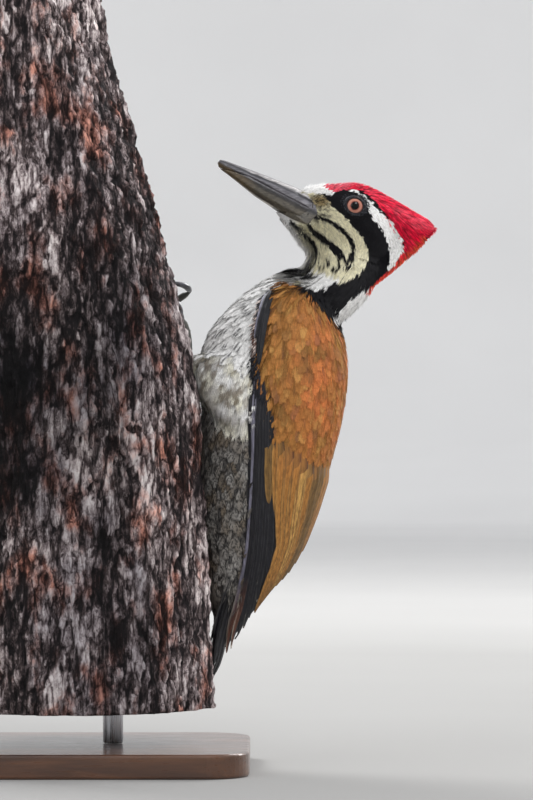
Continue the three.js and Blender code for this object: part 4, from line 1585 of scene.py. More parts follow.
class MODEL_OT_lids(bpy.types.Operator):
    """The bare, wrinkled lids round each eye"""

    bl_idname = "woodpecker.lids"
    bl_label = "Eyelids"

    def execute(self, context):
        material = lid_material()
        _, surface = plumage()
        for side, name in ((-1, "eyelid_left"), (1, "eyelid_right")):
            bm = bmesh.new()
            spun(bm, [(radius * MM, out * MM) for radius, out in LID_PROFILE], 64)
            for vertex in bm.verts:
                radius = math.hypot(vertex.co.x, vertex.co.y) / MM
                turn = math.atan2(vertex.co.y, vertex.co.x)
                fold = math.sin(turn * 19 + radius * 3 + 2 * math.sin(turn * 3))
                vertex.co.z += 0.16 * fold * min(1, max(0, radius - 3.9)) * MM
            stretch = Matrix.Diagonal((LID_LONG, LID_HIGH, 1, 1))
            pitch = Matrix.Rotation(HEAD_PITCH, 4, "Y")
            place = Matrix.Translation(Vector(EYES[side]) * MM) @ pitch @ side_turn(side) @ stretch
            radii = [math.hypot(vertex.co.x, vertex.co.y) / MM for vertex in bm.verts]
            bmesh.ops.transform(bm, matrix=place, verts=bm.verts)
            for vertex, radius in zip(bm.verts, radii):
                start = Vector((vertex.co.x / MM, BIRD_Y + side * 60, vertex.co.z / MM))
                hit = surface.tree.ray_cast(start, Vector((0, -side, 0)), 59)
                tucked = min(1, max(0, (radius - LID_PROFILE[5][0]) / 0.8))
                if hit[0] is not None and tucked:
                    out = min(abs(hit[0].y - BIRD_Y) - LID_TUCK, abs(vertex.co.y / MM - BIRD_Y))
                    level = BIRD_Y + side * out
                    vertex.co.y = vertex.co.y * (1 - tucked) + level * MM * tucked
            bmesh.ops.recalc_face_normals(bm, faces=bm.faces)
            put(name, mesh_of(name, bm), material)
        return {"FINISHED"}


# Ridges and grooves along the bill's side in the head's axes: line, height and width.
BILL_RIDGES = [
    ([(-24, -7.4), (-40, -9.4), (-56, -11), (-69, -12)], 0.34, 0.8),
    ([(-24, -6.0), (-40, -8.2), (-56, -10), (-66, -11)], -0.26, 0.6),
    ([(-18, -9.6), (-34, -10.2), (-50, -11), (-60, -12)], -0.18, 0.5),
    ([(-16, -16.8), (-34, -16.4), (-50, -15.4), (-62, -14.4)], 0.2, 1.1),
]
NOSTRIL = (-26.5, -7.8)
# The bill's colours from culmen to lower rim, by share of its depth; the two palest top bands are a painted
# highlight.
BILL_BANDS = [
    (0.0, (214, 210, 206)), (0.12, (186, 182, 182)), (0.16, (40, 38, 43)), (0.22, (48, 46, 52)),
    (0.28, (122, 120, 126)), (0.42, (92, 88, 92)), (0.48, (28, 26, 29)), (0.55, (50, 46, 44)),
    (0.63, (92, 86, 76)), (0.82, (80, 74, 62)), (0.92, (60, 53, 44)), (0.96, (170, 160, 142)),
    (1.0, (184, 174, 156)),
]


def bill_outline(backs, ups):
    """The bill's upper and lower edge along its length, from the vertices of both halves."""
    bins = np.arange(-78, -10, 1.5)
    top, bottom = [], []
    for low in bins:
        here = (backs >= low) & (backs < low + 3)
        top.append(ups[here].max() if here.any() else np.nan)
        bottom.append(ups[here].min() if here.any() else np.nan)
    top, bottom = np.array(top), np.array(bottom)
    known = ~np.isnan(top)
    return bins[known] + 1.5, top[known], bottom[known]


def noise_at(x, y, z):
    """Noise from -1 to 1 at places on one level."""
    return np.array([noise.noise(Vector((a, b, z))) for a, b in zip(x, y)])


def horn_colours(back, aside, up, outline):
    """Painted highlight on the culmen's upper edge, dark grooves with grey between, olive grey lower half,
    pale tip and rims.
    """
    places, top, bottom = outline
    high, low = np.interp(back, places, top), np.interp(back, places, bottom)
    share = held((high - up) / np.maximum(high - low, 0.5))
    share = np.clip(share + 0.03 * noise_at(back / 7, up * 1.2, 8), 0, np.where(back > -36, 0.78, 1))
    stops = [stop for stop, _ in BILL_BANDS]
    tints = np.array([display(*tint) for _, tint in BILL_BANDS])
    colour = np.stack([np.interp(share, stops, tints[:, k]) for k in range(3)], 1)
    # The culmen's very top stays grey, so the painted highlight shows only on the flanks just below it.
    blended(colour, np.clip(1.9 - np.abs(aside) / 1.5, 0, 0.9) * (share < 0.14), display(118, 115, 118))
    colour *= (1 + 0.35 * noise_at(back / 5, up / 2.2, 2))[:, None]
    colour *= (1 - 0.5 * held((-42 - back) / 24) * (share > 0.14))[:, None]
    blended(colour, np.clip((-72 - back) / 2.4, 0, 0.9), display(176, 166, 158))
    blended(colour, np.clip((-46 - back) / 22, 0, 0.5) * (share > 0.5) * (share < 0.94), "mud")
    return colour * 0.92


class MODEL_OT_bill(bpy.types.Operator):
    """The two halves of the chisel bill, with their ridges and nostril slots"""

    bl_idname = "woodpecker.bill"
    bl_label = "Bill"

    def execute(self, context):
        material = horn_material()
        meshes = {name: remeshed(joined_mesh([name])[0], 0.42, 4) for name in ("bill_upper", "bill_lower")}
        both = np.concatenate([arrays_of(mesh)[0] for mesh in meshes.values()])
        all_back, _, all_up = head_axes(both)
        outline = bill_outline(all_back, all_up)
        for name, mesh in meshes.items():
            vertices, _, normals = arrays_of(mesh)
            back, aside, up = head_axes(vertices)
            lift = 0.16 + np.zeros(len(vertices))
            flank = held(np.abs(aside) / 1.2)
            for line, height, width in BILL_RIDGES:
                apart, _ = beside_line(back, up, line)
                lift += height * flank * np.exp(-((apart / width) ** 2))
            slot = np.hypot((back - NOSTRIL[0]) / 2.4, (up - NOSTRIL[1]) / 0.8)
            lift -= 0.7 * flank * np.exp(-(slot**2))
            lift += 0.05 * noise_at(back / 9, up * 1.4, 3)
            shaped = vertices + normals * lift[:, None]
            shaped[:, 1] = BIRD_Y + gape_width(shaped, shaped[:, 1] - BIRD_Y)
            move_to(mesh, shaped)
            add_colours(mesh, horn_colours(back, aside, up, outline))
            mesh.update()
            put(name + "_horn", mesh, material, (name,))
        return {"FINISHED"}


def gape_width(points, aside):
    """How far aside the horn lies: as packed, and out to the face's skin where the bill's base meets it."""
    head = node_surface("head")
    back, _, up = head_axes(points)
    middle = sum(np.array(BILL_BASE[:7])) / 7
    wide = [tuple(middle + (np.array(p) - middle) * 1.12) for p in BILL_BASE]
    base = inside(back, up, wide) & (back > -29) & (np.abs(aside) > 1.5)
    made = aside.copy()
    for i in np.flatnonzero(base):
        side = 1 if aside[i] > 0 else -1
        start = Vector((points[i, 0], BIRD_Y + side * 40, points[i, 2]))
        hit = head.tree.ray_cast(start, Vector((0, -side, 0)), 40)
        if hit[0] is not None:
            reach = abs(hit[0][1] - BIRD_Y) - 0.35
            if reach > abs(aside[i]):
                made[i] = side * reach
    return made


CLAW_GROWTH = 0.42


class MODEL_OT_claws(bpy.types.Operator):
    """The eight curved claws"""

    bl_idname = "woodpecker.claws"
    bl_label = "Claws"

    def execute(self, context):
        material = claw_material()
        for node in sorted(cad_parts):
            if not node.startswith("claw_"):
                continue
            bm = merged_copy(node, CLAW_GROWTH)
            obj = put(node + "_horn", mesh_of(node, bm), material, (node,))
            smooth = obj.modifiers.new("smooth", "SUBSURF")
            smooth.levels = 2
            smooth.render_levels = 2
        return {"FINISHED"}


# ---- perch

# Noise vectors follow the clock unless a seed is set, so the bark has one of its own.
BARK_SEED = 1795385182
PERCH_VOXEL = 1.6
LOG_RADIUS = 66
WOOD_RADIUS = 61.5
PLATE_SIZE = 6.5
PLATE_STRETCH = 2.6
PLATE_HEIGHT = 3.1
GRIP_REACH = 11.0
# The relief grows from this distance off the log's middle, over this far.
BARK_START = 58
BARK_FADE = 4
# The strip beside the bird where the bark stands higher, and highest by the thighs.
STRIP_MIDDLE = -9
STRIP_REACH = 14
STRIP_LOW = 44
STRIP_HIGH = 215
NEAR_BIRD_RISE = 0.8
THIGH_HEIGHT = 181
THIGH_REACH = 9
THIGH_RISE = 1.4


def perch_axis(z, surface):
    """The middle of the log at each height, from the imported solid."""
    heights = np.linspace(surface.vertices[:, 2].min(), surface.vertices[:, 2].max(), 12)
    xs = []
    for h in heights:
        near = np.abs(surface.vertices[:, 2] - h) < 20
        xs.append((surface.vertices[near, 0].min() + surface.vertices[near, 0].max()) / 2)
    return np.interp(z, heights, xs)


def bark_relief(points):
    """Bark in long flaking plates over deep swells and furrows: relief from about -1 to 1."""
    noise.seed_set(BARK_SEED)
    relief = np.empty(len(points))
    for i, p in enumerate(points.tolist()):
        around = Vector((p[0], p[1], p[2] / PLATE_STRETCH))
        swell = noise.noise(around / 15) + 0.5 * noise.noise(around / 7.5)
        q = around / PLATE_SIZE
        warp = noise.noise_vector(q * 0.8) * 0.7 + noise.noise_vector(q * 2.3) * 0.35
        distances, places = noise.voronoi(q + warp)
        crack = min(1.0, (distances[1] - distances[0]) * 2.6)
        step = noise.noise(places[0] * 3.1 + Vector((5, 1, 9)))
        rough = noise.fractal(q * 2.4, 1.0, 2.2, 3)
        flake = noise.noise(Vector((p[0] / 2.1, p[1] / 2.1, p[2] / 3.4)))
        coarse = swell * 0.4 + (crack**0.6 - 0.66) * 0.6 + step * 0.55 * crack
        relief[i] = coarse + rough * 0.4 + flake * 0.36
    return relief


def grip_calm(points):
    """Where the bark stays at its packed height, by toes and claws: 1 there and 0 further off."""
    calm = np.zeros(len(points))
    for node in sorted(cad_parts):
        if node.startswith(("claw_", "foot_")):
            apart = np.linalg.norm(points - middle_mm(node), axis=1)
            calm = np.maximum(calm, np.exp(-((apart / GRIP_REACH) ** 2)))
    return calm


class MODEL_OT_perch(bpy.types.Operator):
    """The cut length of trunk with its furrowed bark and sawn ends"""

    bl_idname = "woodpecker.perch"
    bl_label = "Perch"

    def execute(self, context):
        mesh, _ = joined_mesh(["perch_log"])
        mesh = remeshed(mesh, PERCH_VOXEL, 2)
        surface = Surface(*arrays_of(mesh))
        points = surface.vertices
        low, high = box_mm("perch_log")
        axis = perch_axis(points[:, 2], surface)
        out = np.stack([points[:, 0] - axis, points[:, 1], np.zeros(len(points))], 1)
        radius = np.linalg.norm(out, axis=1)
        bark = held((radius - BARK_START) / BARK_FADE)
        relief = bark_relief(points) * PLATE_HEIGHT
        relief *= 1 - 0.85 * grip_calm(points)
        aside = (points[:, 1] - STRIP_MIDDLE) / STRIP_REACH
        near_bird = np.exp(-(aside**2)) * (points[:, 0] > axis)
        bird_high = held((points[:, 2] - STRIP_LOW) / 10) * held((STRIP_HIGH - points[:, 2]) / 15)
        by_thighs = (points[:, 2] - THIGH_HEIGHT) / THIGH_REACH
        rise = NEAR_BIRD_RISE + THIGH_RISE * np.exp(-(by_thighs**2))
        relief = relief * (1 - 0.3 * near_bird * bird_high) + near_bird * bird_high * rise
        shaped = points + unit(out) * (relief * bark)[:, None]
        move_to(mesh, shaped)
        sawn = (points[:, 2] > high[2] - PERCH_VOXEL) | (points[:, 2] < low[2] + PERCH_VOXEL)
        barked = np.where(sawn & (radius < WOOD_RADIUS), 0.0, 1.0)
        layers = {"Relief": relief / PLATE_HEIGHT, "Bark": barked, "Radius": radius / LOG_RADIUS}
        for name, values in layers.items():
            layer = mesh.attributes.new(name, "FLOAT", "POINT")
            layer.data.foreach_set("value", values.astype(np.float32))
        mesh.update()
        put("perch_bark", mesh, bark_material(), ("perch_log",))
        return {"FINISHED"}


# ---- stand


BASE_CORNER = 24
SHARP_ANGLE = 1.2


def rounded(bm, edges, width, segments):
    """Rounds these edges off by a width in millimetres."""
    bmesh.ops.bevel(bm, geom=edges, offset=width * MM, offset_type="OFFSET", segments=segments, profile=0.5,
                    affect="EDGES", material=-1)


def sharp_edges(bm):
    return [e for e in bm.edges if e.calc_face_angle() > SHARP_ANGLE]


class MODEL_OT_stand(bpy.types.Operator):
    """The plain base and its two rods"""

    bl_idname = "woodpecker.stand"
    bl_label = "Display stand"

    def execute(self, context):
        low, high = (np.array(c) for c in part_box("stand_base"))
        size, middle = high - low, (low + high) / 2
        bm = bmesh.new()
        bmesh.ops.create_cube(bm, size=1)
        place = Matrix.Translation(Vector(middle)) @ Matrix.Diagonal((*size, 1))
        bmesh.ops.transform(bm, matrix=place, verts=bm.verts)
        upright = [e for e in bm.edges if abs(e.verts[0].co.z - e.verts[1].co.z) > size[2] / 2]
        rounded(bm, upright, BASE_CORNER, 12)
        rounded(bm, sharp_edges(bm), 1.5, 4)
        mesh = mesh_of("display_base", bm, smooth=False)
        put("stand_base_lacquered", mesh, lacquer_material(), ("stand_base",))
        for node in ("stand_rod_1", "stand_rod_2"):
            low, high = (np.array(c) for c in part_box(node))
            bm = bmesh.new()
            radius = (high[0] - low[0]) / 2
            bmesh.ops.create_cone(bm, cap_ends=True, cap_tris=False, segments=40, radius1=radius,
                                  radius2=radius, depth=high[2] - low[2])
            bmesh.ops.translate(bm, verts=bm.verts, vec=Vector((low + high) / 2))
            rounded(bm, sharp_edges(bm), 0.5, 2)
            put(node + "_steel", mesh_of(node, bm), steel_material(), (node,))
        return {"FINISHED"}


# ---- finishes


class Finish:
    """A material being put together around one principled shader."""

    def __init__(self, name, roughness=0.5, **values):
        self.material = bpy.data.materials.new(name)
        self.material.use_nodes = True
        self.tree = self.material.node_tree
        self.tree.nodes.clear()
        self.shader = self.node("ShaderNodeBsdfPrincipled")
        output = self.node("ShaderNodeOutputMaterial")
        self.tree.links.new(self.shader.outputs["BSDF"], output.inputs["Surface"])
        self.shader.inputs["Roughness"].default_value = roughness
        for socket, value in values.items():
            self.shader.inputs[socket.replace("_", " ")].default_value = value

    def node(self, kind, **settings):
        made = self.tree.nodes.new(kind)
        made.location = (-220 * len(self.tree.nodes), 0)
        for key, value in settings.items():
            setattr(made, key, value)
        return made

    def plug(self, value, socket):
        """Links an output to a socket, or sets the socket where the value is a plain number or colour."""
        if isinstance(value, bpy.types.NodeSocket):
            self.tree.links.new(value, socket)
        elif isinstance(value, tuple) and len(value) == 3 and socket.type == "RGBA":
            socket.default_value = (*value, 1)
        else:
            socket.default_value = value

    def place(self, stretch=(1, 1, 1)):
        """Places on the object in metres, stretched along its axes."""
        mapping = self.node("ShaderNodeMapping")
        self.plug(self.node("ShaderNodeTexCoord").outputs["Object"], mapping.inputs["Vector"])
        mapping.inputs["Scale"].default_value = stretch
        return mapping.outputs["Vector"]

    def noise(self, scale, detail=3.0, stretch=(1, 1, 1), roughness=0.55, distortion=0.0):
        made = self.node("ShaderNodeTexNoise")
        self.plug(self.place(stretch), made.inputs["Vector"])
        made.inputs["Scale"].default_value = scale
        made.inputs["Detail"].default_value = detail
        made.inputs["Roughness"].default_value = roughness
        made.inputs["Distortion"].default_value = distortion
        return made.outputs["Fac"]

    def flakes(self, scale, stretch, warp):
        """Ragged cells: how far each place is from its cell's edge, and a number of the cell's own."""
        bent = self.node("ShaderNodeTexNoise")
        self.plug(self.place(stretch), bent.inputs["Vector"])
        bent.inputs["Scale"].default_value = scale * 0.7
        bent.inputs["Detail"].default_value = 4
        push = self.node("ShaderNodeVectorMath", operation="MULTIPLY_ADD")
        self.plug(bent.outputs["Color"], push.inputs[0])
        push.inputs[1].default_value = (warp * 2, warp * 2, warp * 2)
        self.plug(self.place(stretch), push.inputs[2])
        outputs = []
        for feature, output in (("DISTANCE_TO_EDGE", "Distance"), ("F1", "Color")):
            cells = self.node("ShaderNodeTexVoronoi", feature=feature)
            self.plug(push.outputs[0], cells.inputs["Vector"])
            cells.inputs["Scale"].default_value = scale
            outputs.append(cells.outputs[output])
        return outputs

    def attribute(self, name, output="Fac"):
        return self.node("ShaderNodeAttribute", attribute_name=name).outputs[output]

    def maths(self, operation, first, second=0.0, clamp=False):
        made = self.node("ShaderNodeMath", operation=operation, use_clamp=clamp)
        self.plug(first, made.inputs[0])
        self.plug(second, made.inputs[1])
        return made.outputs[0]

    def times(self, first, second):
        return self.maths("MULTIPLY", first, second)

    def plus(self, first, second):
        return self.maths("ADD", first, second)

    def spread(self, value, low, high, to_low=0.0, to_high=1.0):
        """A value's range from low to high turned into another range."""
        made = self.node("ShaderNodeMapRange")
        self.plug(value, made.inputs["Value"])
        limits = {"From Min": low, "From Max": high, "To Min": to_low, "To Max": to_high}
        for socket, number in limits.items():
            made.inputs[socket].default_value = number
        return made.outputs["Result"]

    def ramp(self, value, stops):
        """Colours by a value, from stops of (value, colour as it looks on a screen)."""
        made = self.node("ShaderNodeValToRGB")
        self.plug(value, made.inputs["Fac"])
        band = made.color_ramp
        while len(band.elements) < len(stops):
            band.elements.new(0.5)
        for element, (position, colour) in zip(band.elements, stops):
            element.position = position
            element.color = (*display(*colour), 1)
        return made.outputs["Color"]

    def mix(self, share, first, second, blend="MIX"):
        made = self.node("ShaderNodeMix", data_type="RGBA", blend_type=blend)
        self.plug(share, made.inputs["Factor"])
        self.plug(first, made.inputs[6])
        self.plug(second, made.inputs[7])
        return made.outputs[2]

    def shaded(self, colour, amount):
        """A colour made lighter or darker by a number around 1."""
        made = self.node("ShaderNodeVectorMath", operation="SCALE")
        self.plug(colour, made.inputs[0])
        self.plug(amount, made.inputs["Scale"])
        return made.outputs[0]

    def bumps(self, height, strength, distance):
        """Bumps up to a distance in millimetres."""
        made = self.node("ShaderNodeBump")
        self.plug(height, made.inputs["Height"])
        made.inputs["Strength"].default_value = strength
        made.inputs["Distance"].default_value = distance * MM
        self.plug(made.outputs["Normal"], self.shader.inputs["Normal"])

    def colour(self, value):
        self.plug(value, self.shader.inputs["Base Color"])

    def plumage(self, tone):
        """The mesh's own colours, made lighter or darker by a number around 1."""
        self.colour(self.shaded(self.attribute("Plumage", "Color"), tone))

    def rough(self, value):
        self.plug(value, self.shader.inputs["Roughness"])


@cache
def feather_material():
    finish = Finish("Plumage", 0.65, Sheen_Weight=0.1, Sheen_Roughness=0.35, Specular_IOR_Level=0.22)
    tone = finish.spread(finish.noise(900, 2), 0.3, 0.7, 0.82, 1.14)
    finish.plumage(tone)
    finish.bumps(finish.noise(2600, 2), 0.25, 0.06)
    return finish.material


@cache
def skin_material():
    finish = Finish("Skin under plumage", 0.75, Specular_IOR_Level=0.25)
    tone = finish.spread(finish.noise(700, 3), 0.3, 0.7, 0.75, 1.1)
    finish.plumage(tone)
    finish.bumps(finish.noise(1500, 2), 0.4, 0.12)
    return finish.material


@cache
def vane_material():
    finish = Finish("Flight feather vanes", 0.55, Sheen_Weight=0.06, Specular_IOR_Level=0.25)
    parts = finish.node("ShaderNodeSeparateXYZ")
    finish.plug(finish.node("ShaderNodeUVMap", uv_map="Vane").outputs["UV"], parts.inputs[0])
    across = finish.maths("ABSOLUTE", parts.outputs["X"])
    slant = finish.maths("SUBTRACT", finish.times(parts.outputs["Y"], 640), finish.times(across, 34))
    wander = finish.times(finish.noise(160, 2), 9)
    barbs = finish.maths("SINE", finish.plus(slant, wander))
    streaks = finish.spread(finish.noise(1000, 4, (1, 1, 0.07), 0.65), 0.36, 0.64, 0.62, 1.3)
    tone = finish.times(finish.spread(barbs, -1, 1, 0.92, 1.05), streaks)
    finish.plumage(tone)
    finish.bumps(barbs, 0.35, 0.05)
    return finish.material


@cache
def eye_material():
    finish = Finish("Eye", 0.1, Coat_Weight=0.22, Coat_Roughness=0.03, Specular_IOR_Level=0.12)
    around = finish.attribute("Around")
    fibres = finish.spread(finish.noise(1300, 3), 0.3, 0.7, -0.012, 0.012)
    stops = [
        (0, (2, 2, 2)), (0.112, (3, 2, 3)), (0.122, (74, 36, 34)), (0.15, (184, 118, 100)),
        (0.225, (212, 152, 134)), (0.265, (150, 92, 82)), (0.285, (20, 15, 17)), (0.4, (60, 50, 48)),
    ]
    finish.colour(finish.ramp(finish.plus(around, fibres), stops))
    return finish.material


@cache
def lid_material():
    finish = Finish("Eyelid skin", 0.55, Specular_IOR_Level=0.2)
    tone = finish.noise(1500, 3)
    finish.colour(finish.ramp(tone, [(0.3, (8, 8, 10)), (0.52, (26, 27, 31)), (0.7, (84, 84, 92))]))
    finish.bumps(finish.noise(1900, 3), 0.5, 0.15)
    return finish.material


@cache
def horn_material():
    finish = Finish("Bill horn", 0.36, Coat_Weight=0.25, Coat_Roughness=0.25, Specular_IOR_Level=0.5)
    streaks = finish.node("ShaderNodeTexNoise")
    mapping = finish.node("ShaderNodeMapping")
    finish.plug(finish.node("ShaderNodeTexCoord").outputs["Object"], mapping.inputs["Vector"])
    mapping.inputs["Rotation"].default_value = (0, -HEAD_PITCH, 0)
    mapping.inputs["Scale"].default_value = (0.12, 1, 1)
    finish.plug(mapping.outputs["Vector"], streaks.inputs["Vector"])
    streaks.inputs["Scale"].default_value = 1400
    streaks.inputs["Detail"].default_value = 4
    tone = finish.spread(streaks.outputs["Fac"], 0.36, 0.64, 0.6, 1.25)
    finish.plumage(tone)
    finish.rough(finish.spread(streaks.outputs["Fac"], 0.3, 0.7, 0.28, 0.46))
    finish.bumps(streaks.outputs["Fac"], 0.3, 0.1)
    return finish.material


@cache
def claw_material():
    finish = Finish("Claw horn", 0.3, Coat_Weight=0.4, Coat_Roughness=0.15, Specular_IOR_Level=0.55)
    tone = finish.noise(600, 3, (0.3, 1, 1))
    finish.colour(finish.ramp(tone, [(0.3, (30, 30, 34)), (0.6, (72, 72, 78)), (0.85, (128, 126, 128))]))
    finish.bumps(finish.noise(1800, 2, (0.25, 1, 1)), 0.25, 0.06)
    return finish.material


@cache
def bark_material():
    finish = Finish("Bark and sawn wood", 0.85, Specular_IOR_Level=0.2)
    relief = finish.attribute("Relief")
    flake_edge, flake_tone = finish.flakes(170, (1, 1, 0.3), 0.005)
    chip_edge, chip_tone = finish.flakes(480, (1, 1, 0.4), 0.0022)
    fine = finish.noise(1100, 5, (1, 1, 0.5), 0.7)
    flake_gap = finish.spread(flake_edge, 0, 0.16, 0, 1)
    cracks = finish.times(flake_gap, finish.spread(chip_edge, 0, 0.14, 0.6, 1))
    flake_shade = finish.spread(flake_tone, 0, 1, -0.34, 0.34)
    tones = finish.plus(flake_shade, finish.spread(chip_tone, 0, 1, -0.22, 0.22))
    fibres = finish.noise(300, 7, (1, 1, 0.16), 0.72, 0.4)
    tones = finish.plus(tones, finish.spread(fibres, 0.36, 0.64, -0.5, 0.5))
    tones = finish.plus(tones, finish.spread(fine, 0.3, 0.7, -0.25, 0.25))
    chips = finish.plus(tones, finish.spread(cracks, 0, 1, -0.55, 0.15))
    zones = finish.noise(34, 3, (1, 1, 0.4), 0.6, 0.5)
    # The colour below follows this height, relief included: furrows and cracks darker, raised plates paler,
    # partly the bark's own tone and partly painted shade in the furrows and painted highlight on the plates.
    height = finish.plus(finish.times(relief, 0.8), chips)
    height = finish.plus(height, finish.spread(zones, 0.4, 0.6, -0.35, 0.3))
    stops = [
        (0, (14, 12, 13)), (0.3, (32, 27, 28)), (0.44, (70, 60, 59)), (0.56, (112, 101, 101)),
        (0.68, (158, 146, 144)), (0.9, (212, 203, 200)),
    ]
    colour = finish.ramp(finish.spread(height, -1.35, 1.2), stops)
    rust = finish.spread(finish.noise(60, 4, (1, 1, 0.6), 0.6), 0.5, 0.64, 0, 0.75)
    colour = finish.mix(rust, colour, finish.mix(1.0, colour, display(240, 150, 110), "MULTIPLY"))
    # Painted light and shade: the log is lighter from about 200 mm up, from about 155 mm down and on its side
    # by the bird, and darker, with a cool bluish painted shade, in the band between.
    parts = finish.node("ShaderNodeSeparateXYZ")
    finish.plug(finish.place(), parts.inputs[0])
    swept = finish.plus(parts.outputs["Z"], finish.spread(finish.noise(12, 3), 0, 1, -0.06, 0.06))
    upper = finish.spread(swept, 0.2, 0.275)
    lower = finish.spread(swept, 0.155, 0.09)
    lit = finish.maths("ADD", finish.times(upper, 0.9), finish.times(lower, 0.55), True)
    beside = finish.spread(parts.outputs["X"], 0.035, 0.06)
    lit = finish.maths("MAXIMUM", lit, beside)
    shade = finish.spread(finish.noise(16, 4, (1, 1, 0.7), 0.6), 0.4, 0.6, 0.15, 1.0)
    shade = finish.times(shade, finish.spread(lit, 0, 1, 1.0, 0.35))
    colour = finish.mix(shade, colour, finish.mix(1.0, colour, display(112, 116, 132), "MULTIPLY"))
    colour = finish.shaded(colour, finish.spread(lit, 0, 1, 0.8, 1.85))
    warped = finish.plus(finish.attribute("Radius"), finish.spread(finish.noise(14, 4), 0, 1, -0.06, 0.06))
    rings = finish.node("ShaderNodeTexNoise", noise_dimensions="1D")
    finish.plug(warped, rings.inputs["W"])
    rings.inputs["Scale"].default_value = 46
    rings.inputs["Detail"].default_value = 3
    grain = finish.spread(rings.outputs["Fac"], 0.36, 0.64)
    wood = finish.ramp(grain, [(0, (122, 88, 58)), (0.35, (176, 138, 96)), (1, (206, 174, 132))])
    heart = finish.spread(warped, 0.1, 0.55, 0.72, 1.0)
    wood = finish.shaded(wood, finish.times(heart, finish.spread(finish.noise(260, 4), 0.3, 0.7, 0.8, 1.1)))
    checks = finish.spread(finish.noise(38, 5, (1, 1, 1), 0.75, 1.5), 0.5, 0.53)
    checks = finish.times(checks, finish.spread(finish.noise(38, 5, (1, 1, 1), 0.75, 1.5), 0.56, 0.53))
    wood = finish.shaded(wood, finish.spread(checks, 0, 1, 1.0, 0.72))
    finish.colour(finish.mix(finish.attribute("Bark"), wood, colour))
    finish.bumps(chips, 0.7, 0.7)
    return finish.material


@cache
def lacquer_material():
    finish = Finish("Lacquered walnut", 0.32, Coat_Weight=0.5, Coat_Roughness=0.12)
    grain = finish.noise(46, 6, (0.12, 1.6, 1.6), 0.6, 0.6)
    pores = finish.noise(900, 2, (0.06, 1, 1))
    colour = finish.ramp(grain, [(0.3, (48, 28, 18)), (0.5, (86, 54, 34)), (0.7, (112, 74, 48))])
    finish.colour(finish.shaded(colour, finish.spread(pores, 0.35, 0.65, 0.8, 1.06)))
    finish.rough(finish.spread(pores, 0.3, 0.7, 0.38, 0.26))
    finish.bumps(pores, 0.15, 0.05)
    return finish.material


@cache
def steel_material():
    finish = Finish("Brushed steel", 0.3, Metallic=1.0)
    brush = finish.noise(1400, 2, (1, 1, 0.02))
    finish.colour(finish.ramp(brush, [(0.3, (150, 150, 154)), (0.7, (196, 196, 200))]))
    finish.rough(finish.spread(brush, 0.3, 0.7, 0.22, 0.38))
    finish.bumps(brush, 0.2, 0.02)
    return finish.material


@cache
def floor_material():
    finish = Finish("Studio floor", 0.9, Specular_IOR_Level=0.1)
    parts = finish.node("ShaderNodeSeparateXYZ")
    finish.plug(finish.place(), parts.inputs[0])
    # The floor is painted darker near the middle, where the lamps fall most, and paler far off: painted shade
    # that evens out the lamps' light.
    run = finish.maths("POWER", parts.outputs["X"], 2)
    run = finish.maths("SQRT", finish.plus(run, finish.maths("POWER", parts.outputs["Y"], 2)))
    stops = [(0, (160, 159, 157)), (0.5, (214, 213, 211)), (1, (246, 245, 243))]
    pale = finish.ramp(finish.spread(run, 1.0, 4.8), stops)
    finish.colour(finish.shaded(pale, finish.spread(finish.noise(3, 2), 0.3, 0.7, 0.98, 1.02)))
    return finish.material


# ---- stage

CAMERA_LENS = 200
SENSOR_WIDE = 36
FRAME_TALL = 0.4
CAMERA_AIM = (0.10825, 0.014, 0.1825)
BOWL_PROFILE = [(0, 0), (4.6, 0), (5.2, 0.12), (5.7, 0.5), (6.0, 1.1), (6.1, 2.0), (6.1, 4.0)]


def lamp(name, place, aim, size, power, colour=(1, 1, 1)):
    """A soft square light that faces a point."""
    data = bpy.data.lights.new(name, "AREA")
    data.shape = "SQUARE"
    data.size = size
    data.energy = power
    data.color = colour
    light = bpy.data.objects.new(name, data)
    light.location = place
    light.rotation_euler = (Vector(aim) - Vector(place)).to_track_quat("-Z", "Y").to_euler()
    bpy.context.scene.collection.objects.link(light)


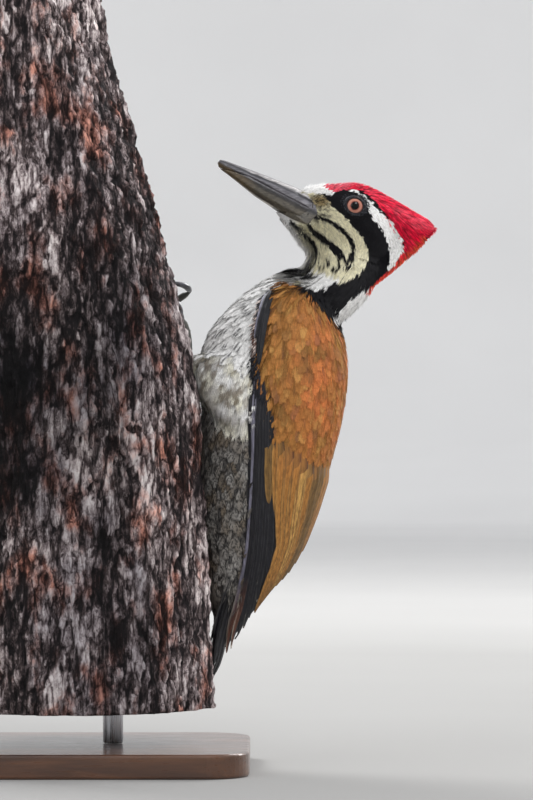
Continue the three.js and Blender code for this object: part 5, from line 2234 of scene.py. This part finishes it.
class MODEL_OT_stage(bpy.types.Operator):
    """The pale floor, the soft lights and the camera"""

    bl_idname = "woodpecker.stage"
    bl_label = "Stage"

    def execute(self, context):
        scene = context.scene
        bm = bmesh.new()
        spun(bm, BOWL_PROFILE, 96)
        bmesh.ops.remove_doubles(bm, verts=bm.verts, dist=1e-5)
        bmesh.ops.recalc_face_normals(bm, faces=bm.faces)
        floor = linked("studio_floor", mesh_of("studio_floor", bm))
        floor.data.materials.append(floor_material())
        aim = Vector(CAMERA_AIM)
        lamp("key_light", (0.75, -1.9, 1.75), aim, 0.9, 27)
        lamp("fill_light", (-1.7, -1.5, 0.9), aim, 1.4, 9, (0.96, 0.98, 1))
        lamp("rim_light_left", (-0.9, 1.5, 1.5), aim, 1.0, 34)
        lamp("rim_light_right", (1.4, 1.3, 1.4), aim, 1.0, 32)
        world = bpy.data.worlds.new("studio_air")
        world.use_nodes = True
        world.node_tree.nodes["Background"].inputs["Color"].default_value = (0.93, 0.95, 1, 1)
        world.node_tree.nodes["Background"].inputs["Strength"].default_value = 0.8
        scene.world = world
        scene.view_settings.view_transform = "Standard"
        camera = bpy.data.objects.new("camera", bpy.data.cameras.new("camera"))
        camera.data.lens = CAMERA_LENS
        camera.data.sensor_width = SENSOR_WIDE
        camera.data.clip_end = 40
        away = FRAME_TALL * CAMERA_LENS / SENSOR_WIDE
        camera.location = aim - Vector((0, away, 0))
        camera.rotation_euler = (math.radians(90), 0, 0)
        scene.collection.objects.link(camera)
        scene.camera = camera
        return {"FINISHED"}


# ---- panel and start

OPERATORS = (
    MODEL_OT_stage,
    MODEL_OT_skin,
    MODEL_OT_small_feathers,
    MODEL_OT_wings,
    MODEL_OT_tail,
    MODEL_OT_eyes,
    MODEL_OT_lids,
    MODEL_OT_bill,
    MODEL_OT_claws,
    MODEL_OT_perch,
    MODEL_OT_stand,
)


class MODEL_PT_woodpecker(bpy.types.Panel):
    """The model's steps, sizes and colours"""

    bl_label = "Woodpecker"
    bl_idname = "MODEL_PT_woodpecker"
    bl_space_type = "VIEW_3D"
    bl_region_type = "UI"
    bl_category = "Woodpecker"

    def draw(self, context):
        for group in (context.scene.woodpecker_sizes, context.scene.woodpecker_colours):
            box = self.layout.box()
            for name in group.__annotations__:
                box.prop(group, name)
        for operator in OPERATORS:
            self.layout.operator(operator.bl_idname)


CLASSES = (PlumageSizes, PlumageColours, *OPERATORS, MODEL_PT_woodpecker)


def register():
    for each in CLASSES:
        bpy.utils.register_class(each)
    bpy.types.Scene.woodpecker_sizes = PointerProperty(type=PlumageSizes)
    bpy.types.Scene.woodpecker_colours = PointerProperty(type=PlumageColours)


def unregister():
    del bpy.types.Scene.woodpecker_colours
    del bpy.types.Scene.woodpecker_sizes
    for each in reversed(CLASSES):
        bpy.utils.unregister_class(each)


def main():
    register()
    for operator in OPERATORS:
        group, name = operator.bl_idname.split(".")
        getattr(getattr(bpy.ops, group), name)()


if __name__ == "__main__":
    main()
